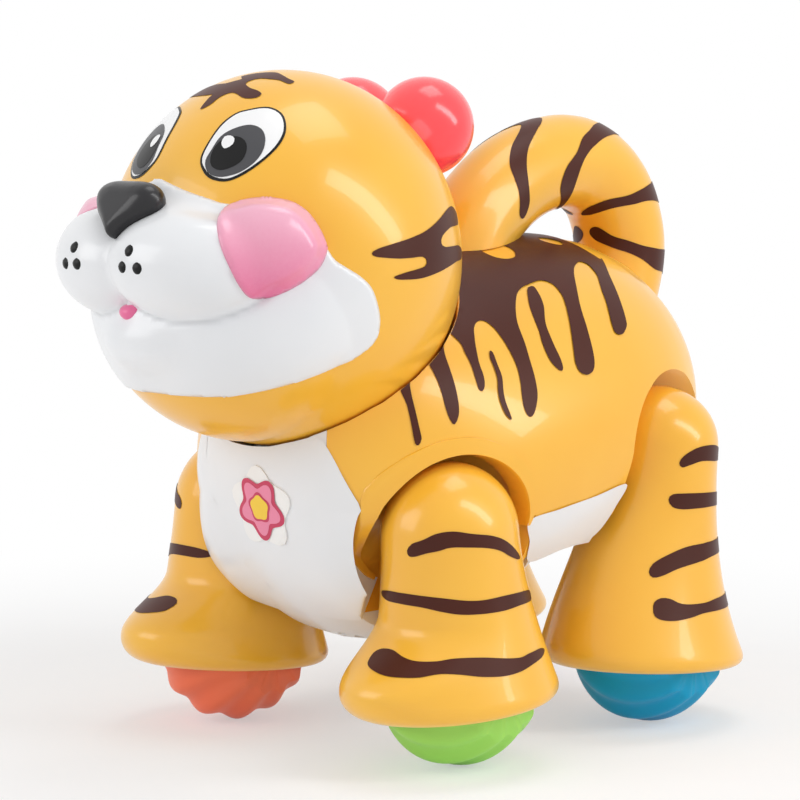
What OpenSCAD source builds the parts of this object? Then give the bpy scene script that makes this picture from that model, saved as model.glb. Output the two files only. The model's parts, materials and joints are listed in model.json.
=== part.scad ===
// Musical walking toy tiger: a battery toy whose four legs swing on hip pins and roll on ridged feet.
// Frame: the face looks along -Y, the toy's left side is +X, up is +Z, the floor is Z = 0.

/* [Body] */
// Length of the egg-shaped body from its middle back to the rump
rump_l = 71; // [69:0.5:73]
// Length of the body from its middle forward to the chest
chest_l = 66; // [64:0.5:68]
// Radius of the body at its widest
body_r = 47; // [46:0.5:48.5]
// Height of the body's middle above the front hip axis
body_up = 17.5; // [17:0.5:18.5]
// Tilt of the body, rump up, degrees
body_pitch = 10; // [8:0.5:12]
// Wall of every moulded shell
wall = 2; // [1.6:0.1:2.4]
// Height of the belly seam below the body's long axis
seam_drop = 20; // [19:0.5:21]
// Height of the flat belly below the body's middle
flat_drop = 24.5; // [24:0.5:25.5]
// Half width of the white bib at the seam
bib_half_w = 28; // [25:0.5:31]

/* [Head] */
// Radius of the round head, seen from above
head_r = 42; // [41:0.5:44]
// Half height of the head
head_half_h = 44.5; // [43:0.5:46]
// Distance from the body's middle forward to the head's middle
head_ahead = 54.5; // [53:0.5:57]
// Height of the head's middle above the body's middle
head_up = 46; // [45:0.5:48]
// Radius of the white lower face
jaw_r = 39; // [37:0.5:40]
// Radius of each muzzle lobe
lobe_r = 13.5; // [12.5:0.5:14.5]
// Distance from the head's middle forward to the lobes
lobe_ahead = 39.5; // [38:0.5:41]
// Half distance between the two lobes
lobe_x = 10.5; // [9.5:0.5:11.5]
// Radius of the ball that each cheek is the cap of
cheek_r = 17; // [16.5:0.5:18]
// Radius of each ear
ear_r = 12; // [11:0.5:13]
// Radius of the neck post
neck_r = 7; // [6:0.5:8]

/* [Tail] */
// Radius of the tail itself
tail_r = 12; // [11:0.5:12.5]
// Height of the top of the tail's curl above the body's middle, along its middle
tail_up = 67.5; // [66:0.5:69]

/* [Legs] */
// Distance from the body's middle forward to the front hips
hip_ahead = 36.5; // [35.5:0.5:37.5]
// Distance from the body's middle back to the rear hips
hip_behind = 37.5; // [36.5:0.5:39]
// Distance from the middle plane to the middle of a leg
leg_x = 37.5; // [37:0.5:40]
// Front hip axis to roller axle
front_drop = 35; // [34:0.5:37]
// Rear hip axis to roller axle
rear_drop = 50; // [48:0.5:52]
// Radius of the domed top of a front leg, seen from the side
front_top_r = 17; // [16:0.5:18]
// Radius of the domed top of a rear leg, seen from the side
rear_top_r = 14.5; // [14:0.5:16]
// Half thickness of a leg at the hip
leg_top_w = 15.5; // [15:0.5:16.5]
// Height from a roller's axle down to the rim of the foot
rim_below = 5; // [4:0.5:6]
// Half width of the foot at its rim
foot_half_w = 23.5; // [23:0.5:24.5]
// Reach of the toe in front of the leg's middle
toe_l = 32.5; // [30:0.5:35]
// Reach of the heel behind the leg's middle
heel_l = 26.5; // [26:0.5:28]
// Swing of the legs away from upright in the rest pose, degrees
rest_swing = 4; // [0:0.5:5]
// Room round the leg's top in its hip pocket
pocket_gap = 4.5; // [4:0.5:6]
// Radius of a hip pin
hip_pin_r = 4; // [3:0.5:5]

/* [Rollers] */
// Radius of a roller over its ridges
roller_r = 20.5; // [19.5:0.1:21]
// Half width of a roller
roller_half_w = 16; // [15:0.5:16.5]
// Height of the swirl ridges
ridge_h = 0.9; // [0.5:0.1:1.2]
// Number of swirl ridges
ridge_count = 12; // [8:1:14]
// Radius of a roller axle
axle_r = 1.5; // [1.2:0.1:2]

/* [Works] */
// Radius of a battery cell
cell_r = 7.05; // [6.9:0.05:7.1]
// Length of a battery cell
cell_l = 50.5; // [49:0.5:51]
// Radius of the speaker's frame
speaker_r = 13; // [11:0.5:13.5]
// Travel of the power switch
switch_travel = 4; // [2:0.5:5]

/* [Fits] */
// Radial play of a turning fit
run_gap = 0.06; // [0.03:0.01:0.09]
// Gap between moulded pieces that butt or nest
part_gap = 0.15; // [0.1:0.05:0.25]
// Gap between pieces that move past each other
move_gap = 0.8; // [0.5:0.1:1]

/* [Hidden] */
$fn = 64;
hip_z = roller_r + front_drop * cos(rest_swing);
body_z = hip_z + body_up;
head_z = body_z + head_up;
flat_z = body_z - flat_drop;
// Half lengths of a muzzle lobe, which points outwards and back
lobe_half_l = 16.5;
lobe_turn = 37;
// The tip of the nose, counted from the head's middle, and the back of the tail set the middle along Y
nose_tip = [0, -53.5, 7];
nose_tip_r = 3.3;
nose_reach = head_ahead - nose_tip.y + nose_tip_r;
tail_back = 64.5;
body_y = (nose_reach - tail_back - tail_r) / 2;
head_y = body_y - head_ahead;
lobe_y = head_y - lobe_ahead;
lobe_z = head_z + 1;
jaw_y = head_y - 11;
jaw_z = head_z - 4.5;
// The middle of the tail, from the back behind the head over the curl into the rump, counted from the
// body's middle and the top of the curl
tail_path = [
    [-6, -48], [-1, -35], [4.5, -22], [9, -15], [15, -9.5], [22, -5], [30, -1.8], [38, -0.2], [43, 0],
    [48, -0.8], [54, -3.6], [59, -8], [62.5, -14], [tail_back, -21], [64, -28], [61.5, -36], [57, -46]
];
// Side of each leg, its hip's place along Y and the way it leans at rest
leg_side = [1, -1, 1, -1];
hip_y = [body_y - hip_ahead, body_y - hip_ahead, body_y + hip_behind, body_y + hip_behind];
leg_drop = [front_drop, front_drop, rear_drop, rear_drop];
top_r = [front_top_r, front_top_r, rear_top_r, rear_top_r];
leg_lean = [1, -1, -1, 1];
// The hip pocket's floor, the discs that carry the hip pins and the bosses that space the legs
boss_gap = 1;
hip_boss_l = 1.5;
hip_boss_r = 5.5;
floor_x = leg_x - leg_top_w - hip_boss_l - boss_gap;
disc_x = floor_x - wall;
belly_half_w = disc_x - 2 * part_gap;
pocket_r = [for (r = top_r) r + pocket_gap];
pocket_flare = [0, 0, 0.22, 0.22];
shoulder_r = front_top_r + pocket_gap + 2.5;
notch_r = [for (i = [0:3]) i < 2 ? shoulder_r + part_gap : pocket_r[i] + 2];
notch_fore = [8, 8, notch_r[2], notch_r[3]];
notch_flare = [0, 0, 11.5, 11.5];
notch_low = 40;
flank_half_l = 14;
flank_line = [[floor_x + 0.1, -8], [floor_x - 3.7, -30], [floor_x - 5.4, -40]];
pin_disc_r = 12;
gear_half_w = belly_half_w - wall - part_gap;
pin_in = gear_half_w + 0.3;
pin_out = leg_x - 3;
pin_end_gap = 0.5;
// The belly slopes up from the chest to the flat part that holds the door
slope_y = body_y - 10;
slope_run = 14;
slope_fall = 24;
// The bib's back, its ends and its taper
bib_y = body_y - 48;
bib_low_z = body_z - 40;
bib_top_z = body_z + 14;
bib_taper = 7.5;
// The cells, their tray and the door below them
door_t = 2.4;
cell_z = flat_z + door_t + 0.3 + cell_r;
nub_r = 2.7;
nub_l = 1.5;
tray_y0 = body_y - 9;
contact_t = 0.8;
contact_w = 10;
tray_wall = 1.2;
tray_y1 = tray_y0 + cell_l + 2 * contact_t + 2 * tray_wall;
tray_top = cell_z + cell_r + 0.3;
tray_half_w = 2 * cell_r + 0.5;
lug_l = 6.6;
door_half_w = 13;
groove_r = 1.2;
groove_half_l = 8;
groove_in = 4;
door_y0 = tray_y0 + tray_wall + 0.5;
door_y1 = tray_y1 + lug_l;
screw_y = tray_y1 + lug_l / 2;
screw_r = 1.4;
screw_head_r = 2.8;
screw_head_t = 1.2;
screw_l = 12;
// Bosses of the belly screws, between the front and rear legs
boss_x = 31;
boss_y = body_y + 1;
boss_r = 3.5;
// The power switch, on the flat of the belly beside the door
switch_x = 21;
switch_y = body_y + 2;
switch_half_w = 3;
switch_half_l = 3 + switch_travel / 2;
housing_h = 5;
knob_half_l = 2.5;
knob_half_w = switch_half_w - 1;
knob_drop = 1.5;
knob_rib = 0.5;
speaker_y = body_y - 33;
speaker_z = flat_z - 10.5;
grille_pitch = 4;
grille_hole_r = 1.2;
gear_y0 = body_y - hip_ahead - 7;
gear_y1 = tray_y0 - part_gap;
gear_z0 = flat_z + door_t + 0.3;
gear_z1 = gear_z0 + 17.5;
pillar_x = 9;
pillar_in = 8;
pillar_r = 3;
pillar_l = 2.5;
motor_r = 10;
motor_l = 27;
motor_z = tray_top + tray_wall + motor_r + part_gap;
bearing_r = 3.5;
bearing_l = 1.5;
board_y = gear_y1 + motor_l + 4;
board_size = [28, 22, 1.6];
chip_size = [10, 8, 3.5];
chip_in = 5;
cap_at = [9, 16];
cap_r = 2.5;
cap_l = 7.5;
basket_l = 6;
magnet_r = 8;
magnet_l = 10;
neck_top = head_z - 25;
neck_flange_z = head_z - head_half_h - move_gap - wall - 2.4;
neck_flange_t = 2;
neck_flange_r = neck_r + 1.5;
hub_r = 12;
hub_l = head_half_h - 25;
// Places on the head, counted from its middle
cheek_at = [20.9, -24.7, -0.5];
ear_at = [12.5, 34, 31];
nose_corner = [5.5, -47, 14];
nose_corner_r = 4.7;
bridge_at = [0, -36, 4];
bridge_r = 14;
tongue_at = [0, -47.5, -10];
tongue_r = 4.5;
lamp_r = 2.5;
lamp_in = 8;
ear_wall = 1.6;
// The opening for the white face, seen from the side and counted from the head's middle
mouth_end = [-13, -12];
mouth_end_r = 7;
mouth_low = -105;
chin_step = 0.8;
chin_top = -8;
mouth_top = [[-22, 7], [-32, 19], [-200, 40]];
// Whisker dots on each lobe
dot_r = 1.1;
dot_out = 2.5;
dots = [[0, 2.2], [-2.7, -3.2], [2.7, -3.2]];
sticker_r = 9;
sticker_t = 0.35;
sticker_gap = 0.05;
sticker_dip = 1.2;
sticker_x = 3;
sticker_z = body_z - 12;
// The bell of a leg: how fast it spreads and where its toe swells out
bell_power = [1.35, 1.35, 1.5, 1.5];
front_share = 0.55;
toe_from = [0.42, 0.42, 0.1, 0.1];
toe_run = [0.4, 0.4, 0.8, 0.8];
// The foot's rim, the well round its roller and the axle in its walls
rim_round = 3.5;
well_gap = 1.5;
end_gap = 0.7;
axle_half_l = 18.8;
axle_end_gap = 0.1;
barrel_taper = 0.42;
swirl = 240;
egg_power = 2.6;
far = 200;

// Colours as the toy shows them
tiger_yellow = [0.97, 0.72, 0.22];
bright_white = [0.94, 0.94, 0.95];
blush_pink = [0.95, 0.5, 0.66];
lamp_red = [0.95, 0.3, 0.32, 0.8];
steel = [0.72, 0.73, 0.75];
roller_colours = [[0.55, 0.82, 0.33], [0.93, 0.33, 0.2], [0.02, 0.5, 0.7], [0.55, 0.35, 0.72]];

function signed_power(v, p) = sign(v) * pow(abs(v), p);
function smooth(v) = let (c = max(0, min(1, v))) c * c * (3 - 2 * c);

// A round solid on Z whose half profile is a superellipse, poles at the stated heights
module blob(r, up, down, n = 2, rows = 20) {
    rotate_extrude()
        polygon([for (i = [0:rows]) let (t = -90 + 180 * i / rows)
            [r * signed_power(cos(t), 2 / n), (t < 0 ? down : up) * signed_power(sin(t), 2 / n)]]);
}

// A rod along X from x0 to x1
module rod_x(r, x0, x1) {
    translate([x0, 0, 0]) rotate([0, 90, 0]) cylinder(r = r, h = x1 - x0);
}

// A skin over rings of points, all of one count, closed by flat end faces
module skin(rings) {
    count = len(rings[0]);
    last = len(rings) - 1;
    polyhedron(
        points = [for (ring = rings) each ring],
        faces = [
            [for (i = [count - 1:-1:0]) i],
            for (j = [0:last - 1]) for (i = [0:count - 1]) let (k = (i + 1) % count)
                each [[j * count + i, (j + 1) * count + k, (j + 1) * count + i],
                      [j * count + i, j * count + k, (j + 1) * count + k]],
            [for (i = [0:count - 1]) last * count + i]
        ],
        convexity = 6
    );
}

// Places its children in the body's own tilted frame
module at_body() {
    translate([0, body_y, body_z]) rotate([body_pitch, 0, 0]) children();
}

// The body's egg, shrunk by a depth
module egg(depth = 0) {
    at_body() rotate([-90, 0, 0]) blob(body_r - depth, rump_l - depth, chest_l - depth, egg_power, 20);
}

// Everything below the belly seam, lowered by a gap
module below_seam(gap) {
    at_body() translate([-far / 2, -far / 2, -seam_drop - gap - far]) cube(far);
}

// The head's ball, grown by a depth
module head_ball(depth = 0) {
    translate([0, head_y, head_z]) blob(head_r + depth, head_half_h + depth, head_half_h + depth, 2, 20);
}

// Places its children at a hip, with +X pointing outwards from the middle plane
module at_hip(i) {
    translate([0, hip_y[i], roller_r + leg_drop[i] * cos(rest_swing)])
        mirror([leg_side[i] < 0 ? 1 : 0, 0, 0]) children();
}

// The room for a leg in the body: a round pocket that runs out downwards
module hip_pocket(r, x0, flare) {
    rod_x(r, x0, far);
    translate([x0, 0, 0]) rotate([90, 0, 90]) linear_extrude(far)
        polygon([[-r, 0], [r, 0], [r + flare * far, -far], [-r - flare * far, -far]]);
}

// The slanted room beside a front leg's inner face, which spreads downwards
module leg_flank() {
    translate([0, flank_half_l, 0]) rotate([90, 0, 0]) linear_extrude(2 * flank_half_l)
        polygon([each flank_line, [far, -notch_low], [far, flank_line[0][1]]]);
}

// The belly's underside seen from the side: chest bulge, slope and flat, moved up by a depth
module under_belly(depth = 0) {
    rotate([90, 0, 90]) translate([0, 0, -far / 2]) linear_extrude(far)
        polygon([
            [slope_y - slope_run - depth, flat_z - slope_fall + depth],
            [slope_y - depth / 2, flat_z + depth],
            [far, flat_z + depth],
            [far, -far],
            [slope_y - slope_run - depth, -far]
        ]);
}

// The front panel of the white bib, which rises from the seam to the neck
module bib(gap) {
    low = bib_half_w + gap;
    high = low - bib_taper;
    translate([0, bib_y + gap, 0]) rotate([90, 0, 0]) linear_extrude(far)
        polygon([[-low, bib_low_z], [low, bib_low_z], [high, bib_top_z], [-high, bib_top_z]]);
}

// The hollow inside the body, less the cups of the hip pockets and the dish under the head
module body_hollow() {
    difference() {
        egg(wall);
        for (i = [0:3])
            at_hip(i) rod_x(pocket_r[i] + wall, disc_x, far);
        head_ball(move_gap + wall);
        for (s = [-1, 1]) translate([s * boss_x, boss_y, 0]) cylinder(r = boss_r, h = far);
    }
}

// The yellow upper body with four hip pockets and the dish that the head turns in
module body_shell() {
    color(tiger_yellow) difference() {
        union() {
            difference() {
                egg();
                body_hollow();
                difference() {
                    below_seam(0);
                    for (i = [0:3]) at_hip(i) rod_x(i < 2 ? shoulder_r : pin_disc_r, disc_x, far);
                }
                bib(part_gap);
            }
            for (i = [0, 1]) at_hip(i) rod_x(shoulder_r, disc_x, floor_x);
            for (i = [2, 3]) at_hip(i) rod_x(pin_disc_r, disc_x, floor_x);
        }
        for (i = [0:3]) at_hip(i) {
            difference() {
                hip_pocket(pocket_r[i], floor_x, pocket_flare[i]);
                rod_x(hip_boss_r, disc_x, floor_x + hip_boss_l);
            }
            rod_x(hip_pin_r + part_gap, disc_x - 1, far);
        }
        for (i = [0, 1]) at_hip(i) leg_flank();
        for (s = [-1, 1]) translate([s * boss_x, boss_y, 0])
            cylinder(r = screw_r + run_gap, h = flat_z + screw_l + 1);
        head_ball(move_gap);
        translate([0, head_y, body_z - body_r]) cylinder(r = neck_r + part_gap, h = body_r + head_up);
    }
}

// The white belly with its bib, speaker grille, switch slot and battery opening
module belly_plate() {
    color(bright_white) difference() {
        intersection() {
            egg();
            union() {
                below_seam(part_gap);
                bib(0);
            }
        }
        difference() {
            egg(wall);
            under_belly(door_t);
            for (s = [-1, 1]) translate([s * boss_x, boss_y, 0]) cylinder(r = boss_r, h = far);
            for (i = [0:3]) at_hip(i) belly_notch(i, wall);
            head_ball(move_gap + wall);
            translate([0, speaker_y, 0]) difference() {
                cylinder(r = speaker_r + wall, h = speaker_z);
                translate([0, 0, -1]) cylinder(r = speaker_r - wall, h = far);
            }
        }
        under_belly();
        for (i = [0:3]) at_hip(i) belly_notch(i);
        for (i = [0, 1]) at_hip(i) leg_flank();
        head_ball(move_gap);
        translate([0, head_y, neck_flange_z]) cylinder(r = neck_r + part_gap, h = far);
        translate([-door_half_w - part_gap, door_y0 - part_gap, flat_z - 1])
            cube([2 * (door_half_w + part_gap), door_y1 - door_y0 + 2 * part_gap, door_t + 2]);
        translate([switch_x - switch_half_w - part_gap, switch_y - switch_half_l - part_gap, flat_z - 1])
            cube([2 * (switch_half_w + part_gap), 2 * (switch_half_l + part_gap), door_t + 2]);
        for (s = [-1, 1]) translate([s * boss_x, boss_y, flat_z - 1]) {
            cylinder(r = screw_r + part_gap, h = far);
            cylinder(r = screw_head_r + part_gap, h = 1 + screw_head_t);
        }
        for (ring = [0:2]) for (k = [0:max(0, 6 * ring - 1)])
            translate([0, speaker_y, 0]) rotate(60 / max(1, ring) * k)
                translate([grille_pitch * ring, 0, 0]) cylinder(r = grille_hole_r, h = speaker_z);
    }
}

// The room for a leg in the belly's flank, round at the hip and wider where the leg spreads
module belly_notch(i, depth = 0) {
    r = notch_r[i] + depth;
    fore = notch_fore[i] + depth;
    rod_x(r, belly_half_w - depth, far);
    translate([belly_half_w - depth, 0, 0]) rotate([90, 0, 90]) linear_extrude(far)
        polygon([[-fore, 0], [r, 0], [r + notch_flare[i], -notch_low], [-fore - notch_flare[i], -notch_low]]);
}

// One ring of the tail, square to its path
function tail_ring(k) =
    let (
        last = len(tail_path) - 1,
        run = tail_path[min(last, k + 1)] - tail_path[max(0, k - 1)],
        turn = atan2(run.y, run.x)
    )
    [for (i = [0:19]) let (t = 18 * i)
        [tail_r * cos(t), tail_path[k].x, tail_path[k].y] + tail_r * sin(t) * [0, -sin(turn), cos(turn)]];

// The tail, curled into a carrying handle that stands on the back
module tail_handle() {
    color(tiger_yellow) difference() {
        translate([0, body_y, body_z + tail_up]) skin([for (k = [0:len(tail_path) - 1]) tail_ring(k)]);
        egg(-part_gap);
        head_ball(move_gap);
    }
}

// The post under the dish that the head turns on
module neck_post() {
    color(bright_white) translate([0, head_y, 0]) difference() {
        union() {
            translate([0, 0, neck_flange_z - neck_flange_t]) cylinder(r = neck_flange_r, h = neck_flange_t);
            translate([0, 0, neck_flange_z - neck_flange_t])
                cylinder(r = neck_r, h = neck_top - neck_flange_z + neck_flange_t);
        }
        translate([0, 0, neck_flange_z - far]) cylinder(r = neck_r - wall, h = far + far);
    }
}

// The battery door, flush with the flat belly, with a finger groove and a screw hole
module battery_door() {
    color(bright_white) difference() {
        translate([-door_half_w, door_y0, flat_z]) cube([2 * door_half_w, door_y1 - door_y0, door_t]);
        translate([0, screw_y, flat_z - 1]) cylinder(r = screw_r + part_gap, h = far);
        translate([0, screw_y, flat_z - 1]) cylinder(r = screw_head_r + part_gap, h = 1 + screw_head_t);
        translate([0, door_y0 + groove_in, flat_z - groove_r / 2])
            rod_x(groove_r, -groove_half_l, groove_half_l);
    }
}

// The screw of the battery door
module door_screw() {
    color(steel) translate([0, screw_y, flat_z]) {
        cylinder(r = screw_head_r, h = screw_head_t);
        cylinder(r = screw_r, h = screw_l);
    }
}

// The tray over the cells, open downwards, with end walls and a lug for the door screw
module battery_tray() {
    color(bright_white) difference() {
        translate([-tray_half_w, tray_y0, flat_z + door_t])
            cube([2 * tray_half_w, tray_y1 + lug_l - tray_y0, tray_top + tray_wall - flat_z - door_t]);
        translate([-far / 2, tray_y0 + tray_wall, tray_top - far])
            cube([far, tray_y1 - tray_y0 - 2 * tray_wall, far]);
        translate([0, screw_y, 0]) cylinder(r = screw_r + run_gap, h = flat_z + screw_l + 1);
    }
}

// Two round cells side by side, head to tail
module battery_cells() {
    color([0.2, 0.45, 0.25]) for (s = [-1, 1])
        translate([s * (cell_r + part_gap), tray_y0 + tray_wall + contact_t + cell_l / 2, cell_z])
            rotate([-90 * s, 0, 0]) translate([0, 0, -cell_l / 2]) {
                cylinder(r = cell_r, h = cell_l - nub_l);
                cylinder(r = nub_r, h = cell_l);
            }
}

// Sprung contact plates at both ends of the cells
module battery_contacts() {
    plate_t = contact_t - part_gap;
    color(steel) for (s = [-1, 1]) for (y = [tray_y0 + tray_wall, tray_y1 - tray_wall - plate_t])
        translate([s * (cell_r + part_gap) - contact_w / 2, y, cell_z - contact_w / 2])
            cube([contact_w, plate_t, contact_w]);
}

// The sealed gear unit between the front legs, with the screw pillars of its case
module gear_unit() {
    color([0.3, 0.3, 0.32]) {
        translate([-gear_half_w, gear_y0, gear_z0])
            cube([2 * gear_half_w, gear_y1 - gear_y0, gear_z1 - gear_z0]);
        for (x = [-pillar_x, pillar_x]) for (y = [gear_y0 + pillar_in, gear_y1 - pillar_in])
            translate([x, y, gear_z0 - pillar_l]) cylinder(r = pillar_r, h = pillar_l + 1);
    }
}

// The motor behind the gear unit, with the bearing at its end
module motor() {
    color(steel) translate([0, gear_y1 + part_gap, motor_z]) rotate([-90, 0, 0]) {
        cylinder(r = motor_r, h = motor_l);
        cylinder(r = bearing_r, h = motor_l + bearing_l);
    }
}

// Four hip pins, flanged behind the discs of the pockets
module hip_pins() {
    color(steel) for (i = [0:3]) at_hip(i) {
        rod_x(hip_pin_r, pin_in, pin_out);
        rod_x(hip_pin_r + 1, pin_in, disc_x - part_gap);
    }
}

// The circuit board on the tray, with its sound chip and cap
module circuit_board() {
    color([0.1, 0.4, 0.2]) translate([0, board_y, tray_top + tray_wall + part_gap]) {
        translate([-board_size.x / 2, 0, 0]) cube(board_size);
        translate([-chip_size.x / 2, chip_in, 0]) cube(chip_size);
        translate([cap_at.x, cap_at.y, 0]) cylinder(r = cap_r, h = cap_l);
    }
}

// The speaker on its seat over the grille: frame, basket and magnet
module speaker() {
    color([0.16, 0.16, 0.17]) translate([0, speaker_y, speaker_z]) {
        cylinder(r = speaker_r, h = wall);
        cylinder(r1 = speaker_r, r2 = magnet_r + 0.5, h = basket_l);
        cylinder(r = magnet_r, h = magnet_l);
    }
}

// Screws that hold the belly plate to the body, up from below
module belly_screws() {
    color(steel) for (s = [-1, 1]) translate([s * boss_x, boss_y, 0]) {
        translate([0, 0, flat_z]) cylinder(r = screw_head_r, h = screw_head_t);
        translate([0, 0, flat_z]) cylinder(r = screw_r, h = screw_l);
    }
}

// The housing of the slide switch, on the inside of the belly
module switch_housing() {
    lip = 1.5;
    color([0.2, 0.2, 0.22])
        translate([switch_x, switch_y, flat_z + door_t + part_gap + housing_h / 2])
            cube([2 * (switch_half_w + lip), 2 * (switch_half_l + lip), housing_h], center = true);
}

// The ribbed knob of the power switch
module switch_slider() {
    color([0.9, 0.25, 0.2]) translate([switch_x, switch_y, flat_z - knob_drop]) {
        translate([-knob_half_w, -knob_half_l, knob_rib])
            cube([2 * knob_half_w, 2 * knob_half_l, knob_drop + door_t - part_gap - knob_rib]);
        for (y = [-knob_half_l, -knob_half_l / 3, knob_half_l / 3])
            translate([-knob_half_w, y, 0]) cube([2 * knob_half_w, knob_half_l / 3, 2 * knob_rib]);
    }
}

// A die-cut sticker with five round points, laid on the bib
module chest_sticker() {
    color([0.98, 0.9, 0.4]) intersection() {
        difference() {
            egg(-sticker_t - sticker_gap);
            egg(-sticker_gap);
        }
        translate([sticker_x, body_y, sticker_z]) rotate([90, 0, 0]) linear_extrude(far)
            polygon([for (t = [0:9:351]) (sticker_r - sticker_dip * cos(5 * t)) * [sin(t), -cos(t)]]);
    }
}

// The opening for the white face, seen from the side: a wedge with a round end below the cheek
module mouth(gap) {
    end_r = mouth_end_r + gap;
    translate([0, head_y, head_z]) rotate([90, 0, 90]) translate([0, 0, -far / 2]) linear_extrude(far)
        polygon([
            [-far, mouth_low - gap],
            for (t = [-60:15:60]) mouth_end + end_r * [cos(t), sin(t)],
            for (p = mouth_top) p + [gap, gap]
        ]);
}

// The ball of the white lower face, grown by a depth
module jaw_ball(depth) {
    translate([0, jaw_y, jaw_z]) sphere(r = jaw_r + depth);
}

// The two balls of the muzzle, grown by a depth
module lobe_balls(depth) {
    for (s = [-1, 1]) translate([s * lobe_x, lobe_y, lobe_z]) rotate([-90, 0, -s * lobe_turn])
        blob(lobe_r + depth, lobe_half_l + depth, lobe_half_l + depth);
}

// Everything of the white face before it is trimmed, grown by a depth
module face_form(depth) {
    jaw_ball(depth);
    lobe_balls(depth);
    translate([0, head_y, head_z] + bridge_at) sphere(r = bridge_r + depth);
}

// The nose's form, grown by a depth
module nose_form(depth) {
    translate([0, head_y, head_z]) hull() {
        for (s = [-1, 1]) translate([s * nose_corner.x, nose_corner.y, nose_corner.z])
            sphere(r = nose_corner_r + depth, $fn = 24);
        translate(nose_tip) sphere(r = nose_tip_r + depth, $fn = 24);
    }
}

// The yellow chin below the white face, shrunk by a depth
module chin(depth) {
    intersection() {
        jaw_ball(-chin_step - depth);
        translate([0, head_y, head_z - far + chin_top]) cube([far, far, 2 * far], center = true);
    }
}

// The round yellow head, open for the white face, the neck post and the lamps
module head_shell() {
    color(tiger_yellow) difference() {
        union() {
            head_ball();
            chin(0);
        }
        head_ball(-wall);
        chin(wall);
        mouth(part_gap);
        translate([0, head_y, neck_top - far]) cylinder(r = neck_r + 1, h = far);
        for (s = [-1, 1]) lamp_rod(s, lamp_r + part_gap);
    }
}

// A rod from the head's middle out to the middle of an ear
module lamp_rod(s, r) {
    side = [s * ear_at.x, ear_at.y, ear_at.z];
    translate([0, head_y, head_z]) rotate([0, acos(side.z / norm(side)), atan2(side.y, side.x)])
        translate([0, 0, head_r - lamp_in]) cylinder(r = r, h = norm(side) - head_r + lamp_in);
}

// The white lower face with its two muzzle lobes and whisker dots
module muzzle() {
    color(bright_white) difference() {
        intersection() {
            face_form(0);
            mouth(0);
        }
        face_form(-wall);
        nose_form(part_gap);
        for (s = [-1, 1]) for (d = dots)
            translate([s * (lobe_x + dot_out) + d.x, lobe_y - lobe_r + wall, lobe_z + d.y])
                rotate([90, 0, 0]) cylinder(r = dot_r, h = far);
    }
}

// The black nose
module nose() {
    color([0.08, 0.08, 0.09]) difference() {
        nose_form(0);
        face_form(-wall - part_gap);
    }
}

// The tip of the tongue between the lobes and the chin
module tongue() {
    $fn = 160;
    color(blush_pink) difference() {
        translate([0, head_y, head_z] + tongue_at) sphere(r = tongue_r);
        jaw_ball(part_gap);
        lobe_balls(part_gap);
    }
}

// A round cheek that lies on the head and the white face
module cheek(s) {
    $fn = 128;
    color(blush_pink) difference() {
        translate([s * cheek_at.x, head_y + cheek_at.y, head_z + cheek_at.z]) sphere(r = cheek_r);
        head_ball(part_gap);
        jaw_ball(part_gap);
        lobe_balls(part_gap);
    }
}

module cheek_left() {
    cheek(1);
}

module cheek_right() {
    cheek(-1);
}

// A hollow see-through ear on the head
module ear(s) {
    $fn = 128;
    color(lamp_red) difference() {
        translate([s * ear_at.x, head_y + ear_at.y, head_z + ear_at.z]) difference() {
            sphere(r = ear_r);
            sphere(r = ear_r - ear_wall);
        }
        head_ball(part_gap);
    }
}

module ear_left() {
    ear(1);
}

module ear_right() {
    ear(-1);
}

// The lamps that light the ears
module ear_lamps() {
    color([1, 0.85, 0.8]) for (s = [-1, 1]) lamp_rod(s, lamp_r);
}

// The hub inside the head that runs on the neck post
module head_hub() {
    color(bright_white) difference() {
        intersection() {
            translate([0, head_y, neck_top - hub_l]) cylinder(r = hub_r, h = hub_l - 1);
            head_ball(-wall - part_gap);
        }
        translate([0, head_y, head_z - far]) cylinder(r = neck_r + run_gap, h = far);
    }
}

// One ring of a leg at a height counted from the hip axis, toe towards -Y
function leg_ring(z, i) =
    let (
        leg_rim = leg_drop[i] + rim_below,
        v = max(0, -z) / leg_rim,
        dome = z > 0 ? sqrt(1 - pow(z / top_r[i], 2)) : 1,
        flare = front_share * (heel_l - top_r[i]),
        below = max(0, rim_round - leg_rim - z) / rim_round,
        inset = rim_round * (1 - sqrt(1 - below * below)),
        spread = pow(v, bell_power[i]),
        side = (leg_top_w + (foot_half_w - leg_top_w) * spread) * dome - inset,
        back = (top_r[i] + (heel_l - top_r[i]) * spread) * dome - inset,
        toe = (toe_l - top_r[i] - flare) * smooth((v - toe_from[i]) / toe_run[i]),
        front = (top_r[i] + flare * v + toe) * dome - inset
    )
    [for (k = [0:23]) let (t = 15 * k) [side * cos(t), (sin(t) < 0 ? front : back) * sin(t), z]];

// The outside of a leg, from the dome down to the rounded rim of the foot
module leg_form(i) {
    leg_rim = leg_drop[i] + rim_below;
    heights = [
        for (f = [0.995, 0.93, 0.79, 0.56, 0.29, 0]) f * top_r[i],
        for (f = [0.15, 0.3, 0.45, 0.53, 0.6, 0.67, 0.74, 0.81]) -f * leg_rim,
        for (f = [0, 0.45, 0.8, 0.95]) rim_round * (1 - f) - leg_rim
    ];
    skin([for (z = heights) leg_ring(z, i)]);
}

// A barrel along X, thick in the middle
module barrel(r, half_w) {
    rotate([0, 90, 0]) rotate_extrude() polygon([
        [0, -half_w],
        for (i = [-5:5]) [barrel_r(r, i / 5), half_w * i / 5],
        [0, half_w]
    ]);
}

function barrel_r(r, x) = r * (1 - barrel_taper * x * x);

// Places its children at the middle of a leg's hip, leaning as the leg does
module at_leg(i) {
    at_hip(i) translate([leg_x, 0, 0]) rotate([leg_lean[i] * rest_swing, 0, 0]) children();
}

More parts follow.
